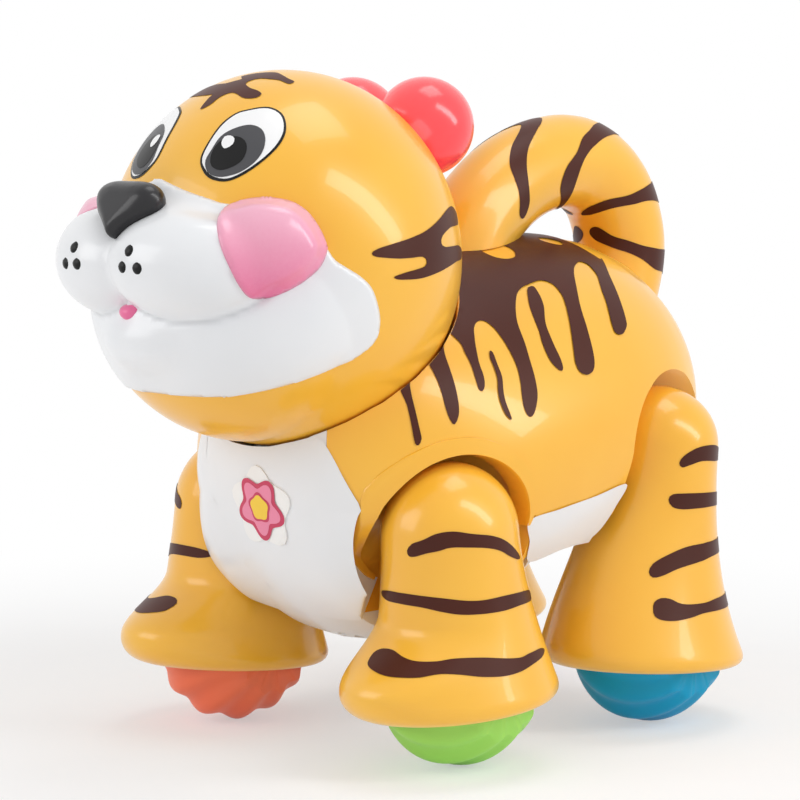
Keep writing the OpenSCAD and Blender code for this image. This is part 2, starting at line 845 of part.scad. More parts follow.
// A bell-shaped leg with a bore for its hip pin and a well for its roller
module leg(i) {
    color(tiger_yellow) at_leg(i) difference() {
        leg_form(i);
        rod_x(hip_pin_r + run_gap, -far, pin_out - leg_x + pin_end_gap);
        translate([0, 0, -leg_drop[i]]) {
            barrel(roller_r + well_gap, roller_half_w + end_gap);
            rod_x(axle_r + run_gap / 2, -axle_half_l, axle_half_l);
        }
    }
}

// The pin that a roller turns on
module axle(i) {
    half_l = axle_half_l - axle_end_gap;
    color(steel) at_leg(i) translate([0, 0, -leg_drop[i]]) rod_x(axle_r, -half_l, half_l);
}

// One ring of a roller: swirl ridges that lean with the place across the width
function roller_ring(x) =
    let (r = barrel_r(roller_r, x / roller_half_w), steps = 3 * ridge_count)
    [for (i = [0:steps - 1])
        let (
            t = 360 * i / steps - 90,
            wave = 0.5 - 0.5 * cos(ridge_count * (t + 90) - swirl * x / roller_half_w),
            ridge_r = r - ridge_h * wave
        )
        [x, ridge_r * cos(t), ridge_r * sin(t)]];

// A ridged barrel roller
module roller(i) {
    lean = leg_lean[i] * rest_swing;
    color(roller_colours[i]) at_hip(i)
        translate([leg_x, leg_drop[i] * sin(lean), -leg_drop[i] * cos(lean)]) difference() {
            skin([for (k = [4:-1:-4]) roller_ring(roller_half_w * k / 4)]);
            rod_x(axle_r + run_gap, -far, far);
        }
}

module leg_front_left() {
    leg(0);
}

module leg_front_right() {
    leg(1);
}

module leg_rear_left() {
    leg(2);
}

module leg_rear_right() {
    leg(3);
}

module axle_front_left() {
    axle(0);
}

module axle_front_right() {
    axle(1);
}

module axle_rear_left() {
    axle(2);
}

module axle_rear_right() {
    axle(3);
}

module roller_front_left() {
    roller(0);
}

module roller_front_right() {
    roller(1);
}

module roller_rear_left() {
    roller(2);
}

module roller_rear_right() {
    roller(3);
}

body_shell();
belly_plate();
tail_handle();
neck_post();
battery_door();
door_screw();
battery_tray();
battery_cells();
battery_contacts();
gear_unit();
motor();
hip_pins();
circuit_board();
speaker();
belly_screws();
switch_housing();
switch_slider();
chest_sticker();
head_shell();
muzzle();
nose();
tongue();
cheek_left();
cheek_right();
ear_left();
ear_right();
ear_lamps();
head_hub();
leg_front_left();
leg_front_right();
leg_rear_left();
leg_rear_right();
axle_front_left();
axle_front_right();
axle_rear_left();
axle_rear_right();
roller_front_left();
roller_front_right();
roller_rear_left();
roller_rear_right();
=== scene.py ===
"""Looks of the walking toy tiger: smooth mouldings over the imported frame, printed marks, studio stage."""

import json
import math

import bmesh
import bpy
import numpy as np
from mathutils import Matrix, Vector
from mathutils.geometry import delaunay_2d_cdt


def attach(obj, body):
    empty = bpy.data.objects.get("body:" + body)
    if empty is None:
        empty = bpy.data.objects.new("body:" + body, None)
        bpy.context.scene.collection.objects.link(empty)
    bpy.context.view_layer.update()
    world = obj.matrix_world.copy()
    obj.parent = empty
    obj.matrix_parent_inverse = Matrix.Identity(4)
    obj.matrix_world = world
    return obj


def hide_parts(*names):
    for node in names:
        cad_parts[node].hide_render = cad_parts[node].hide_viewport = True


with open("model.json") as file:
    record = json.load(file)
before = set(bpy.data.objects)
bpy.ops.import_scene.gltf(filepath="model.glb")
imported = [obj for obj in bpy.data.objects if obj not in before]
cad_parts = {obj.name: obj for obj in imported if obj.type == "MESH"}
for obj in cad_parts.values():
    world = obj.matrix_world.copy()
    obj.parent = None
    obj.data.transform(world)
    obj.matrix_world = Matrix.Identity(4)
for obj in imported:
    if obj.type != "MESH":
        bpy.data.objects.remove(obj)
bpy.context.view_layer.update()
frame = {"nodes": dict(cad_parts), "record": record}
NODES = frame["nodes"]
MM = 0.001

# Places and sizes, in millimetres, as in the part's source
SWING = math.radians(4)
ROLLER_R = 20.5
DROP = (35, 35, 50, 50)
BODY = np.array([0, 17.4, ROLLER_R + 35 * math.cos(SWING) + 17.5])
PITCH = math.radians(10)
BODY_R, RUMP, CHEST, EGG_POWER = 47, 71, 66, 2.6
HEAD = BODY + np.array([0, -54.5, 46])
HEAD_R, HEAD_H = 42, 44.5
LEG_NAMES = ("front_left", "front_right", "rear_left", "rear_right")
SIDE = (1, -1, 1, -1)
SIDES = ((1, "left"), (-1, "right"))
LEAN = (1, -1, -1, 1)
LEG_X = 37.5
HIP_Y = (BODY[1] - 36.5, BODY[1] - 36.5, BODY[1] + 37.5, BODY[1] + 37.5)
TOP_R = (17, 17, 14.5, 14.5)
BELL = (1.6, 1.6, 2.5, 2.5)
FLARE = (0.14, 0.14, 0.55, 0.55)
HEEL = (26.5, 26.5, 28.5, 28.5)
TOE_FROM = (0.46, 0.46, 0.1, 0.1)
TOE_RUN = (0.36, 0.36, 0.8, 0.8)
RIM_DROP, BELL_R, TOE_R = 5, 26.5, 32.5
LEG_SIDE, LEG_SPREAD = 15.5, 8
FOOT_LIP = 3.5
TOE_LIP = (4.5, 4.5, 2.0, 2.0)
WELL_HALF, WELL_R, PIN_BORE = 16.7, 22, 4.06
ROLLER_HALF, RIDGES, RIDGE_TWIST, RIDGE_DEPTH = 16, 12, 240, 1.4
BARREL = 0.42
EAR_SPOT, EAR_R, EAR_IN_R = (12.5, 34, 31), 12, 10.4
TAIL_R = 12
TAIL_TOP = BODY + np.array([0, 0, 67.5])
TAIL_PATH = [
    (-6, -48), (-1, -35), (4.5, -22), (9, -15), (15, -9.5), (22, -5), (30, -1.8), (38, -0.2), (43, 0),
    (48, -0.8), (54, -3.6), (59, -8), (62.5, -14), (64.5, -21), (64, -28), (61.5, -36), (57, -46),
]


def rgb(red, green, blue):
    """A screen colour, 0 to 255, as the linear values that shaders take."""
    out = []
    for v in (red / 255, green / 255, blue / 255):
        out.append(v / 12.92 if v <= 0.04045 else ((v + 0.055) / 1.055) ** 2.4)
    return (*out, 1.0)


# Materials


# Plastics and paint: scales of the tone's drift, the grain and the speckle,
# the grain's depth in metres, gloss
DRIFT, GRAIN, GRAIN_DEPTH, SPECKLE = 30, 900, 0.0002, 1400
GLOSS_SPREAD, STREAK_SPREAD, SPECKLE_MIX = 0.05, 0.1, 0.12
COAT_ROUGH, PAINT_ROUGH, PAINT_COAT = 0.06, 0.28, 0.3


def feed(socket, value):
    """Wires another node's output to a socket, or sets the socket's value."""
    if isinstance(value, bpy.types.NodeSocket):
        socket.id_data.links.new(value, socket)
    else:
        socket.default_value = value


def settle(node, **values):
    """Feeds a node's sockets; an underscore stands for a blank in a socket's name."""
    for name, value in values.items():
        feed(node.inputs[name.replace("_", " ")], value)
    return node


def add(tree, kind, out, **values):
    """The output of a new shader node."""
    return settle(tree.nodes.new("ShaderNode" + kind), **values).outputs[out]


def sums(tree, operation, *values, kind="Math"):
    """The result of a sum on values or outputs."""
    node = tree.nodes.new("ShaderNode" + kind)
    node.operation = operation
    for socket, value in zip(node.inputs, values):
        feed(socket, value)
    return node.outputs["Value"]


def tones(tree, along, low, high, start=0.0, end=1.0):
    """A ramp from one colour to another."""
    ramp = settle(tree.nodes.new("ShaderNodeValToRGB"), Fac=along)
    for stop, at, colour in zip(ramp.color_ramp.elements, (start, end), (low, high)):
        stop.position = at
        stop.color = colour
    return ramp.outputs["Color"]


def shader(name):
    mat = bpy.data.materials.new(name)
    mat.use_nodes = True
    tree = mat.node_tree
    return mat, tree, tree.nodes["Principled BSDF"], add(tree, "TexCoord", "Object")


def moulded(name, colour, shade, rough=0.3, coat=0.0, bump=0.04, **sockets):
    """Moulded plastic: two close tones that drift over the surface, uneven gloss and a fine grain."""
    mat, tree, bsdf, where = shader(name)
    drift = add(tree, "TexNoise", "Fac", Vector=where, Scale=DRIFT, Detail=3)
    fine = add(tree, "TexNoise", "Fac", Vector=where, Scale=GRAIN, Detail=2)
    low, high = rough - GLOSS_SPREAD, rough + GLOSS_SPREAD
    settle(
        bsdf, Base_Color=tones(tree, drift, shade, colour, 0.3, 0.7),
        Roughness=add(tree, "MapRange", "Result", Value=drift, To_Min=low, To_Max=high),
        Normal=add(tree, "Bump", "Normal", Height=fine, Strength=bump, Distance=GRAIN_DEPTH),
        Coat_Weight=coat, Coat_Roughness=COAT_ROUGH, **sockets,
    )
    return mat


def paint_lit_from_above(name, low, high, low_z, high_z):
    """Paint whose tone runs with the height, from low to high, with a fine speckle; the paler top is a
    painted highlight, as light from above would give.
    """
    mat, tree, bsdf, where = shader(name)
    up = add(tree, "SeparateXYZ", "Z", Vector=where)
    speck = add(tree, "TexNoise", "Fac", Vector=where, Scale=SPECKLE)
    height = add(tree, "MapRange", "Result", Value=up, From_Min=low_z * MM, From_Max=high_z * MM)
    # Height and speckle together set the tone: the height part is painted light from above
    light_and_speck = sums(tree, "MULTIPLY_ADD", speck, SPECKLE_MIX, height)
    paint = tones(tree, light_and_speck, low, high, SPECKLE_MIX / 2)
    settle(bsdf, Base_Color=paint, Roughness=PAINT_ROUGH, Coat_Weight=PAINT_COAT, Coat_Roughness=COAT_ROUGH)
    return mat


def metal(name, colour, rough=0.3):
    """Bright drawn metal with fine streaks."""
    mat, tree, bsdf, where = shader(name)
    stretch = add(tree, "Mapping", "Vector", Vector=where, Scale=(60, 900, 900))
    streak = add(tree, "TexNoise", "Fac", Vector=stretch, Scale=1)
    low, high = rough - STREAK_SPREAD, rough + STREAK_SPREAD
    gloss = add(tree, "MapRange", "Result", Value=streak, To_Min=low, To_Max=high)
    settle(bsdf, Base_Color=colour, Metallic=1.0, Roughness=gloss)
    return mat


M = {
    "yellow": moulded("tiger_yellow", rgb(252, 192, 62), rgb(249, 184, 52), 0.3, 0.35),
    "white": moulded("bright_white", rgb(240, 241, 243), rgb(234, 236, 239), 0.3, 0.3),
    "print": moulded(
        "stripe_print", rgb(78, 36, 25), rgb(70, 31, 21), 0.4, bump=0.02, Specular_IOR_Level=0.2,
    ),
    "nose_black": moulded(
        "nose_paint", rgb(34, 33, 36), rgb(27, 26, 29), 0.28, 0.15, Specular_IOR_Level=0.35,
    ),
    # Cheek pink: the deep pink is the cheek's own colour, its paling towards the top is painted light from
    # above
    "cheek": paint_lit_from_above("cheek_pink_lit_from_above", rgb(234, 98, 150), rgb(246, 182, 204), 110, 134),
    "pink": moulded("tongue_paint", rgb(240, 110, 160), rgb(232, 100, 150), 0.3, 0.3),
    "ear_red": moulded(
        "ear_lens", rgb(240, 104, 110), rgb(234, 86, 94), 0.22, 0.4, Transmission_Weight=0.5, IOR=1.45,
        Emission_Color=rgb(238, 84, 92), Emission_Strength=0.2,
    ),
    "lamp": moulded(
        "lamp_clear", rgb(255, 225, 215), rgb(255, 210, 200), 0.2, 0.3,
        Emission_Color=rgb(255, 190, 180), Emission_Strength=6.0,
    ),
    "eye_black": moulded(
        "eye_black", rgb(16, 15, 16), rgb(10, 10, 11), 0.35, bump=0.02, Specular_IOR_Level=0.25,
    ),
    "eye_white": moulded("eye_white", rgb(250, 250, 250), rgb(246, 246, 247), 0.3, 0.4, bump=0.02),
    "eye_grey": moulded(
        "eye_grey", rgb(82, 82, 85), rgb(74, 74, 77), 0.35, bump=0.02, Specular_IOR_Level=0.25,
    ),
    "sticker": moulded("sticker_film", rgb(248, 247, 245), rgb(243, 242, 240), 0.4, 0.2, bump=0.02),
    "steel": metal("bright_steel", rgb(214, 216, 220)),
    "motor_case": metal("motor_case", rgb(205, 207, 210), 0.4),
    "gear_case": moulded("gear_case", rgb(70, 70, 74), rgb(62, 62, 66), 0.5),
    "cell_wrap": moulded("cell_wrap", rgb(54, 120, 70), rgb(48, 110, 62), 0.35, 0.2),
    "board": moulded("board_lacquer", rgb(32, 104, 58), rgb(26, 94, 50), 0.35, 0.2),
    "speaker_black": moulded("speaker_black", rgb(46, 46, 49), rgb(40, 40, 43), 0.6),
    "switch_red": moulded("switch_red", rgb(226, 66, 52), rgb(218, 58, 46), 0.4),
}
for name, colour, shade in (
    ("roller_green", (166, 228, 104), (156, 220, 94)), ("roller_red", (255, 134, 98), (252, 122, 86)),
    ("roller_blue", (6, 166, 212), (2, 156, 202)), ("roller_purple", (150, 98, 192), (140, 88, 182)),
):
    M[name] = moulded(name, rgb(*colour), rgb(*shade), 0.45, Specular_IOR_Level=0.3)
for name, colour, shade in (
    ("ink_red", (206, 52, 92), (196, 44, 84)), ("ink_pink", (240, 140, 170), (236, 130, 162)),
    ("ink_gold", (250, 210, 60), (246, 200, 48)),
):
    M[name] = moulded(name, rgb(*colour), rgb(*shade), 0.4, 0.2, bump=0.02)

# Mesh helpers


def add_object(name, data):
    obj = bpy.data.objects.new(name, data)
    bpy.context.collection.objects.link(obj)
    return obj


def edit(mesh, change):
    """Works on a mesh with one of bmesh's operations."""
    shape = bmesh.new()
    shape.from_mesh(mesh)
    change(shape)
    shape.to_mesh(mesh)
    shape.free()


def mesh_object(name, points, faces, mat, sharp=None):
    """A new object from points in millimetres."""
    mesh = bpy.data.meshes.new(name)
    mesh.from_pydata([tuple(p) for p in np.asarray(points, float) * MM], [], faces)
    mesh.update()
    mesh.shade_smooth()
    if sharp:
        mesh.set_sharp_from_angle(angle=math.radians(sharp))
    mesh.materials.append(mat)
    return add_object(name, mesh)


def place(obj, body, slot, *nodes):
    """Lets a piece ride on a body, and hides the nodes that are named."""
    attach(obj, body)
    if nodes:
        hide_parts(*nodes)
    return obj


def circle(step):
    """Angles round a circle, a step of degrees apart, in radians."""
    return np.radians(np.arange(0, 360, step))


def ring_faces(rings, count):
    """Quads between rings of points, with a fan of one middle point at each end."""
    faces = []
    for j in range(rings - 1):
        for i in range(count):
            k = (i + 1) % count
            faces.append((j * count + i, j * count + k, (j + 1) * count + k, (j + 1) * count + i))
    first, last = rings * count, rings * count + 1
    for i in range(count):
        k = (i + 1) % count
        faces.append((first, k, i))
        faces.append((last, (rings - 1) * count + i, (rings - 1) * count + k))
    return faces


def closed_skin(name, rings, mat, sharp=None):
    """A closed skin over rings of points; its ends close on their middles."""
    rings = np.asarray(rings, float)
    points = list(rings.reshape(-1, 3)) + [rings[0].mean(0), rings[-1].mean(0)]
    obj = mesh_object(name, points, ring_faces(len(rings), rings.shape[1]), mat)
    edit(obj.data, lambda shape: bmesh.ops.recalc_face_normals(shape, faces=shape.faces))
    if sharp:
        obj.data.set_sharp_from_angle(angle=math.radians(sharp))
    return obj


def carve(obj, *cutters, sharp=40):
    """Cuts the cutters out of a piece for good."""
    for cutter in cutters:
        cut = obj.modifiers.new("cut", "BOOLEAN")
        cut.operation = "DIFFERENCE"
        cut.solver = "EXACT"
        cut.object = cutter
    bpy.context.view_layer.update()
    whole = obj.evaluated_get(bpy.context.evaluated_depsgraph_get())
    mesh = bpy.data.meshes.new_from_object(whole)
    obj.modifiers.clear()
    mesh.materials.clear()
    mesh.materials.append(obj.data.materials[0])
    obj.data = mesh
    mesh.shade_smooth()
    mesh.set_sharp_from_angle(angle=math.radians(sharp))
    for cutter in cutters:
        bpy.data.objects.remove(cutter, do_unlink=True)
    return obj


# The forms


def tilt(points, angle):
    """Points turned about X."""
    p = np.asarray(points, float)
    c, s = math.cos(angle), math.sin(angle)
    return np.stack([p[..., 0], c * p[..., 1] - s * p[..., 2], s * p[..., 1] + c * p[..., 2]], -1)


def round_form(centre, radii, power=2.0, front=None, turn=0.0):
    """A blob: returns a function that gives how far points lie outside it and the outward normal there."""

    def measure(points):
        q = tilt(np.asarray(points) - centre, -turn)
        ry = np.where(q[:, 1] < 0, front or radii[1], radii[1])
        if power == 2.0:
            f = (q[:, 0] / radii[0]) ** 2 + (q[:, 1] / ry) ** 2 + (q[:, 2] / radii[2]) ** 2
            g = 2 * np.stack([q[:, 0] / radii[0] ** 2, q[:, 1] / ry**2, q[:, 2] / radii[2] ** 2], -1)
        else:
            rho = np.maximum(1e-6, np.hypot(q[:, 0], q[:, 2]))
            a, b = rho / radii[0], np.abs(q[:, 1]) / ry
            f = a**power + b**power
            across = power * a ** (power - 1) / radii[0] / rho
            along = power * b ** (power - 1) / ry * np.sign(q[:, 1])
            g = np.stack([across * q[:, 0], along, across * q[:, 2]], -1)
        size = np.maximum(1e-9, np.linalg.norm(g, axis=1))
        return (f - 1) / size, tilt(g / size[:, None], turn)

    return measure


def ball(centre, r):
    return round_form(np.asarray(centre, float), (r, r, r))


EGG = round_form(BODY, (BODY_R, RUMP, BODY_R), EGG_POWER, CHEST, PITCH)
HEAD_BALL = round_form(HEAD, (HEAD_R, HEAD_R, HEAD_H))
FORM_REACH = 0.4


def smooth_copy(node, mat, forms):
    """A copy of a node's mesh whose shading follows the true forms that it was cut from."""
    obj = add_object(node + "_moulding", NODES[node].data.copy())
    mesh = obj.data
    edit(mesh, lambda shape: bmesh.ops.remove_doubles(shape, verts=shape.verts, dist=2e-6))
    mesh.shade_smooth()
    mesh.set_sharp_from_angle(angle=math.radians(32))
    points = np.array([v.co for v in mesh.vertices]) / MM
    corner = np.array([loop.vertex_index for loop in mesh.loops])
    flat = np.zeros((len(mesh.loops), 3))
    for poly in mesh.polygons:
        flat[poly.loop_start:poly.loop_start + poly.loop_total] = poly.normal
    normals = np.zeros((len(mesh.loops), 3))
    best = np.full(len(mesh.loops), FORM_REACH)
    for form in forms:
        away, n = form(points)
        away, n = np.abs(away[corner]), n[corner]
        agree = (n * flat).sum(1)
        take = (away < best) & (np.abs(agree) > 0.9)
        normals[take] = n[take] * np.sign(agree[take])[:, None]
        best[take] = away[take]
    mesh.normals_split_custom_set([tuple(n) for n in normals])
    mesh.materials.clear()
    mesh.materials.append(mat)
    return obj


def smooth_step(x):
    x = min(1.0, max(0.0, x))
    return x * x * (3 - 2 * x)


def leg_point(i, t, z):
    """A place on a leg's skin, from the turn round it (0 outwards, -90 toe) and the height from the hip."""
    rim = DROP[i] + RIM_DROP
    v = max(0.0, -z) / rim
    dome = math.sqrt(max(0.0, 1 - (z / TOP_R[i]) ** 2)) if z > 0 else 1.0
    flare = FLARE[i] * (BELL_R - TOP_R[i])
    c, s = math.cos(math.radians(t)), math.sin(math.radians(t))
    lip = FOOT_LIP + TOE_LIP[i] * min(0.0, s) ** 2
    below = min(1.0, max(0.0, lip - rim - z) / lip)
    inset = lip * (1 - math.sqrt(1 - below * below))
    spread = v ** BELL[i]
    side = (LEG_SIDE + LEG_SPREAD * spread) * dome - inset
    back = (TOP_R[i] + (HEEL[i] - TOP_R[i]) * spread) * dome - inset
    toe = (TOE_R - TOP_R[i] - flare) * smooth_step((v - TOE_FROM[i]) / TOE_RUN[i])
    front = (TOP_R[i] + flare * v + toe) * dome - inset
    return leg_place(i, (side * c, (front if s < 0 else back) * s, z))


def leg_place(i, p):
    """A point of a leg's own frame, +X outwards from the hip, in the row frame."""
    a = LEAN[i] * SWING
    x, y, z = p
    hip_z = ROLLER_R + DROP[i] * math.cos(SWING)
    return np.array([
        SIDE[i] * (LEG_X + x),
        HIP_Y[i] + y * math.cos(a) - z * math.sin(a),
        hip_z + y * math.sin(a) + z * math.cos(a),
    ])


def roller_point(i, x, r, t):
    """A point on a roller: x outwards along the axle, r and t round it."""
    a = math.radians(t)
    p = leg_place(i, (0, 0, -DROP[i]))
    return p + np.array([SIDE[i] * x, r * math.cos(a), r * math.sin(a)])


def barrel_r(r, x):
    return r * (1 - BARREL * x * x)


def bend(a, b, c, d, u):
    """A place on a smooth curve between b and c, whose neighbours are a and d."""
    return 0.5 * (2 * b + (c - a) * u + (2 * a - 5 * b + 4 * c - d) * u * u + (3 * b - a - 3 * c + d) * u**3)


def spline(points, steps):
    """Points along a smooth open curve through the given ones."""
    p = np.asarray(points, float)
    p = np.vstack([2 * p[0] - p[1], p, 2 * p[-1] - p[-2]])
    out = []
    for k in range(1, len(p) - 2):
        for u in np.linspace(0, 1, steps, endpoint=False):
            out.append(bend(p[k - 1], p[k], p[k + 1], p[k + 2], u))
    out.append(p[-2])
    return np.array(out)


TAIL = spline(TAIL_PATH, 8)
TAIL_RUN = np.gradient(TAIL, axis=0)
TAIL_RUN /= np.linalg.norm(TAIL_RUN, axis=1)[:, None]
TAIL_S = np.concatenate([[0], np.cumsum(np.linalg.norm(np.diff(TAIL, axis=0), axis=1))])


def tail_point(s, t):
    """A place on the tail: s along its middle, t round it (0 to the left, 90 to the outside of the curl)."""
    y, z = np.interp(s, TAIL_S, TAIL[:, 0]), np.interp(s, TAIL_S, TAIL[:, 1])
    ry, rz = np.interp(s, TAIL_S, TAIL_RUN[:, 0]), np.interp(s, TAIL_S, TAIL_RUN[:, 1])
    c, n = TAIL_R * math.cos(math.radians(t)), TAIL_R * math.sin(math.radians(t))
    return TAIL_TOP + np.array([c, y - n * rz, z + n * ry])


def egg_point(phi, y):
    """A place on the body: phi from the back towards the left, y along the body, rump positive."""
    reach = RUMP if y > 0 else CHEST
    rho = BODY_R * (1 - min(1.0, abs(y) / reach) ** EGG_POWER) ** (1 / EGG_POWER)
    a = math.radians(phi)
    return BODY + tilt(np.array([rho * math.sin(a), y, rho * math.cos(a)]), PITCH)


# Shells

place(smooth_copy("body_shell", M["yellow"], [EGG]), "body", "yellow", "body_shell")
place(smooth_copy("belly_plate", M["white"], [EGG]), "body", "white", "belly_plate")
for sign, side in SIDES:
    ear_middle = HEAD + np.array(EAR_SPOT) * (sign, 1, 1)
    ear = smooth_copy("ear_" + side, M["ear_red"], [ball(ear_middle, EAR_R), ball(ear_middle, EAR_IN_R)])
    place(ear, "head", "ear_red", "ear_" + side)
# The nose: a skin drawn tight over two wide corners and a low tip, narrowed above the tip
NOSE_LOW, NOSE_RUN = 6.5, 6.5
shape = bmesh.new()
for centre, r in (((5.5, -46, 14.8), 4.6), ((-5.5, -46, 14.8), 4.6), ((0, -50.4, 9.4), 3)):
    made = bmesh.ops.create_icosphere(shape, subdivisions=4, radius=r * MM)
    bmesh.ops.translate(shape, verts=made["verts"], vec=Vector((HEAD + np.array(centre)) * MM))
hull = bmesh.ops.convex_hull(shape, input=shape.verts)
spare = {g for g in hull["geom_interior"] + hull["geom_unused"] if isinstance(g, bmesh.types.BMVert)}
bmesh.ops.delete(shape, geom=list(spare), context="VERTS")
for _ in range(4):
    bmesh.ops.subdivide_edges(shape, edges=[e for e in shape.edges if e.calc_length() > 0.0014], cuts=1)
    bmesh.ops.triangulate(shape, faces=shape.faces)
for _ in range(9):
    bmesh.ops.smooth_vert(
        shape, verts=shape.verts, factor=0.5, use_axis_x=True, use_axis_y=True, use_axis_z=True,
    )
for v in shape.verts:
    v.co.x *= 0.62 + 0.38 * smooth_step((v.co.z / MM - HEAD[2] - NOSE_LOW) / NOSE_RUN)
nose_mesh = bpy.data.meshes.new("nose_moulding")
shape.to_mesh(nose_mesh)
shape.free()
nose_mesh.shade_smooth()
nose_mesh.materials.append(M["nose_black"])
place(add_object("nose_moulding", nose_mesh), "head", "nose_black", "nose")


TAIL_SEAT, HEAD_GAP = 0.15, 0.8


def cutter(middle, steps, ring):
    """A closed round form as a cutter: rings from one end to the other, by the angle between them."""
    rings = [middle + ring(math.radians(-90 + 180 * k / steps), circle(4)) for k in range(1, steps)]
    return closed_skin("cutter", rings, M["yellow"])


def egg_ring(t, a):
    """The body's egg, grown a little."""
    y = math.copysign(abs(math.sin(t)) ** (2 / EGG_POWER), t) * ((RUMP if t > 0 else CHEST) + TAIL_SEAT)
    rho = (BODY_R + TAIL_SEAT) * math.cos(t) ** (2 / EGG_POWER)
    return tilt(np.stack([rho * np.sin(a), np.full(a.shape, y), rho * np.cos(a)], -1), PITCH)


def head_ring(t, a):
    """The head's ball, grown by the turning gap."""
    rho, z = (HEAD_R + HEAD_GAP) * math.cos(t), (HEAD_H + HEAD_GAP) * math.sin(t)
    return np.stack([rho * np.cos(a), rho * np.sin(a), np.full(a.shape, z)], -1)


tail_rings = [[tail_point(s, t) for t in range(0, 360, 8)] for s in TAIL_S]
tail = closed_skin("tail_moulding", tail_rings, M["yellow"])
carve(tail, cutter(BODY, 64, egg_ring), cutter(HEAD, 48, head_ring))
place(tail, "body", "yellow", "tail_handle")

# Legs and rollers

for i, name in enumerate(LEG_NAMES):
    rim = DROP[i] + RIM_DROP
    heights = [TOP_R[i] * math.cos(math.radians(a)) for a in np.arange(2, 90, 5.5)]
    heights += list(np.linspace(0, FOOT_LIP - rim, 42))
    heights += [FOOT_LIP * (1 - math.sin(math.radians(a))) - rim for a in (15, 30, 45, 60, 72, 82, 89)]
    rings = [[leg_point(i, t, z) for t in range(0, 360, 4)] for z in heights]
    leg = closed_skin("leg_%s_moulding" % name, rings, M["yellow"])
    well = []
    for x in np.linspace(-1, 1, 21):
        r = barrel_r(WELL_R, x)
        well.append([
            leg_place(i, (WELL_HALF * x, r * math.cos(a), r * math.sin(a) - DROP[i]))
            for a in circle(5)
        ])
    bore = [
        [leg_place(i, (x, PIN_BORE * math.cos(a), PIN_BORE * math.sin(a))) for a in circle(15)]
        for x in (-40, -2.5)
    ]
    carve(leg, closed_skin("well_cutter", well, M["yellow"]), closed_skin("bore_cutter", bore, M["yellow"]))
    place(leg, "leg_" + name, "yellow", "leg_" + name)
    rings = []
    for x in np.linspace(-1, 1, 41):
        ring = []
        for t in np.arange(-90, 270, 2.5):
            wave = 0.5 - 0.5 * math.cos(math.radians(RIDGES * (t + 90) - RIDGE_TWIST * x))
            ring.append(roller_point(i, ROLLER_HALF * x, barrel_r(ROLLER_R, x) - RIDGE_DEPTH * wave, t))
        rings.append(ring)
    slot = ("roller_green", "roller_red", "roller_blue", "roller_purple")[i]
    roller = closed_skin("roller_%s_moulding" % name, rings, M[slot], 50)
    place(roller, "roller_" + name, slot, "roller_" + name)

# Printed marks


EDGE_STEP = 0.8
PRINT_LIFT = 0.12


def closed_curve(points, step):
    """A smooth closed curve through the points, as points about one step apart."""
    p = np.asarray(points, float)
    out = []
    for k in range(len(p)):
        a, b, c, d = p[k - 1], p[k], p[(k + 1) % len(p)], p[(k + 2) % len(p)]
        n = max(2, int(np.linalg.norm(c - b) / step))
        for u in np.linspace(0, 1, n, endpoint=False):
            out.append(bend(a, b, c, d, u))
    return np.array(out)


def inside(points, loop):
    """Which points lie inside a closed loop, by counting crossings."""
    x, y = points[:, 0][:, None], points[:, 1][:, None]
    x0, y0 = loop[:, 0][None], loop[:, 1][None]
    x1, y1 = np.roll(loop[:, 0], -1)[None], np.roll(loop[:, 1], -1)[None]
    rise = np.where(y1 == y0, 1e-12, y1 - y0)
    cross = ((y0 > y) != (y1 > y)) & (x < (x1 - x0) * (y - y0) / rise + x0)
    return cross.sum(1) % 2 == 1


def within(points, loops):
    """Which points lie inside closed loops; a loop within another is a hole."""
    return np.logical_xor.reduce([inside(points, loop) for loop in loops])


def film(loops, step=1.4):
    """Triangles of the flat area inside closed loops."""
    loops = [closed_curve(loop, EDGE_STEP) for loop in loops]
    flat = np.vstack(loops)
    low, high = flat.min(0), flat.max(0)
    edges, start = [], 0
    for loop in loops:
        n = len(loop)
        edges += [(start + k, start + (k + 1) % n) for k in range(n)]
        start += n
    xs, ys = np.arange(low[0], high[0], step), np.arange(low[1], high[1], step)
    grid = np.array([(x + (step / 2 if k % 2 else 0), y) for k, y in enumerate(ys) for x in xs])
    near = np.array([np.min(np.sum((flat - g) ** 2, 1)) for g in grid]) < (0.45 * step) ** 2
    cloud = np.vstack([flat, grid[within(grid, loops) & ~near]])
    out = delaunay_2d_cdt([Vector(p) for p in cloud], edges, [], 0, 1e-6)
    verts = np.array([tuple(v) for v in out[0]])
    faces = [tuple(f) for f in out[2] if len(f) == 3]
    middles = np.array([verts[list(f)].mean(0) for f in faces])
    return verts, [f for f, keep in zip(faces, within(middles, loops)) if keep]


def lifted(place_at, verts, lift):
    """Places of flat points on a skin, lifted off it along its outward normal."""
    out = []
    for u, v in verts:
        p = place_at(u, v)
        du, dv = place_at(u + 0.05, v) - p, place_at(u, v + 0.05) - p
        n = np.cross(du, dv)
        out.append(p + lift * n / max(1e-12, np.linalg.norm(n)))
    return np.array(out)


def print_on(
    name, body, mat, loops, place_at, lift=PRINT_LIFT, mirror=False, clear_of=None, outward=1,
    slot="nose_black",
):
    """A printed mark: flat loops laid on a skin."""
    verts, faces = film(loops)
    points = lifted(place_at, verts, lift * outward)
    if clear_of is not None:
        form, grow = clear_of
        away = form(points)[0]
        faces = [f for f in faces if away[list(f)].max() > grow]
        for _ in range(4):
            away, n = form(points)
            points = points + n * np.maximum(0, grow - away)[:, None]
    if outward < 0:
        faces = [f[::-1] for f in faces]
    if mirror:
        points = points * np.array([-1, 1, 1])
        faces = [f[::-1] for f in faces]
    used = sorted({k for f in faces for k in f})
    index = {k: n for n, k in enumerate(used)}
    obj = mesh_object(name, points[used], [tuple(index[k] for k in f) for f in faces], mat)
    return place(obj, body, slot)


# Stripes of the body: the back patch with its drips, then the separate ones.
# Angle from the back, place along it
ARC = math.radians(1) * 45


def on_egg(u, v):
    return egg_point(u / ARC, v)


def egg_loop(points):
    return [(phi * ARC, y) for phi, y in points]


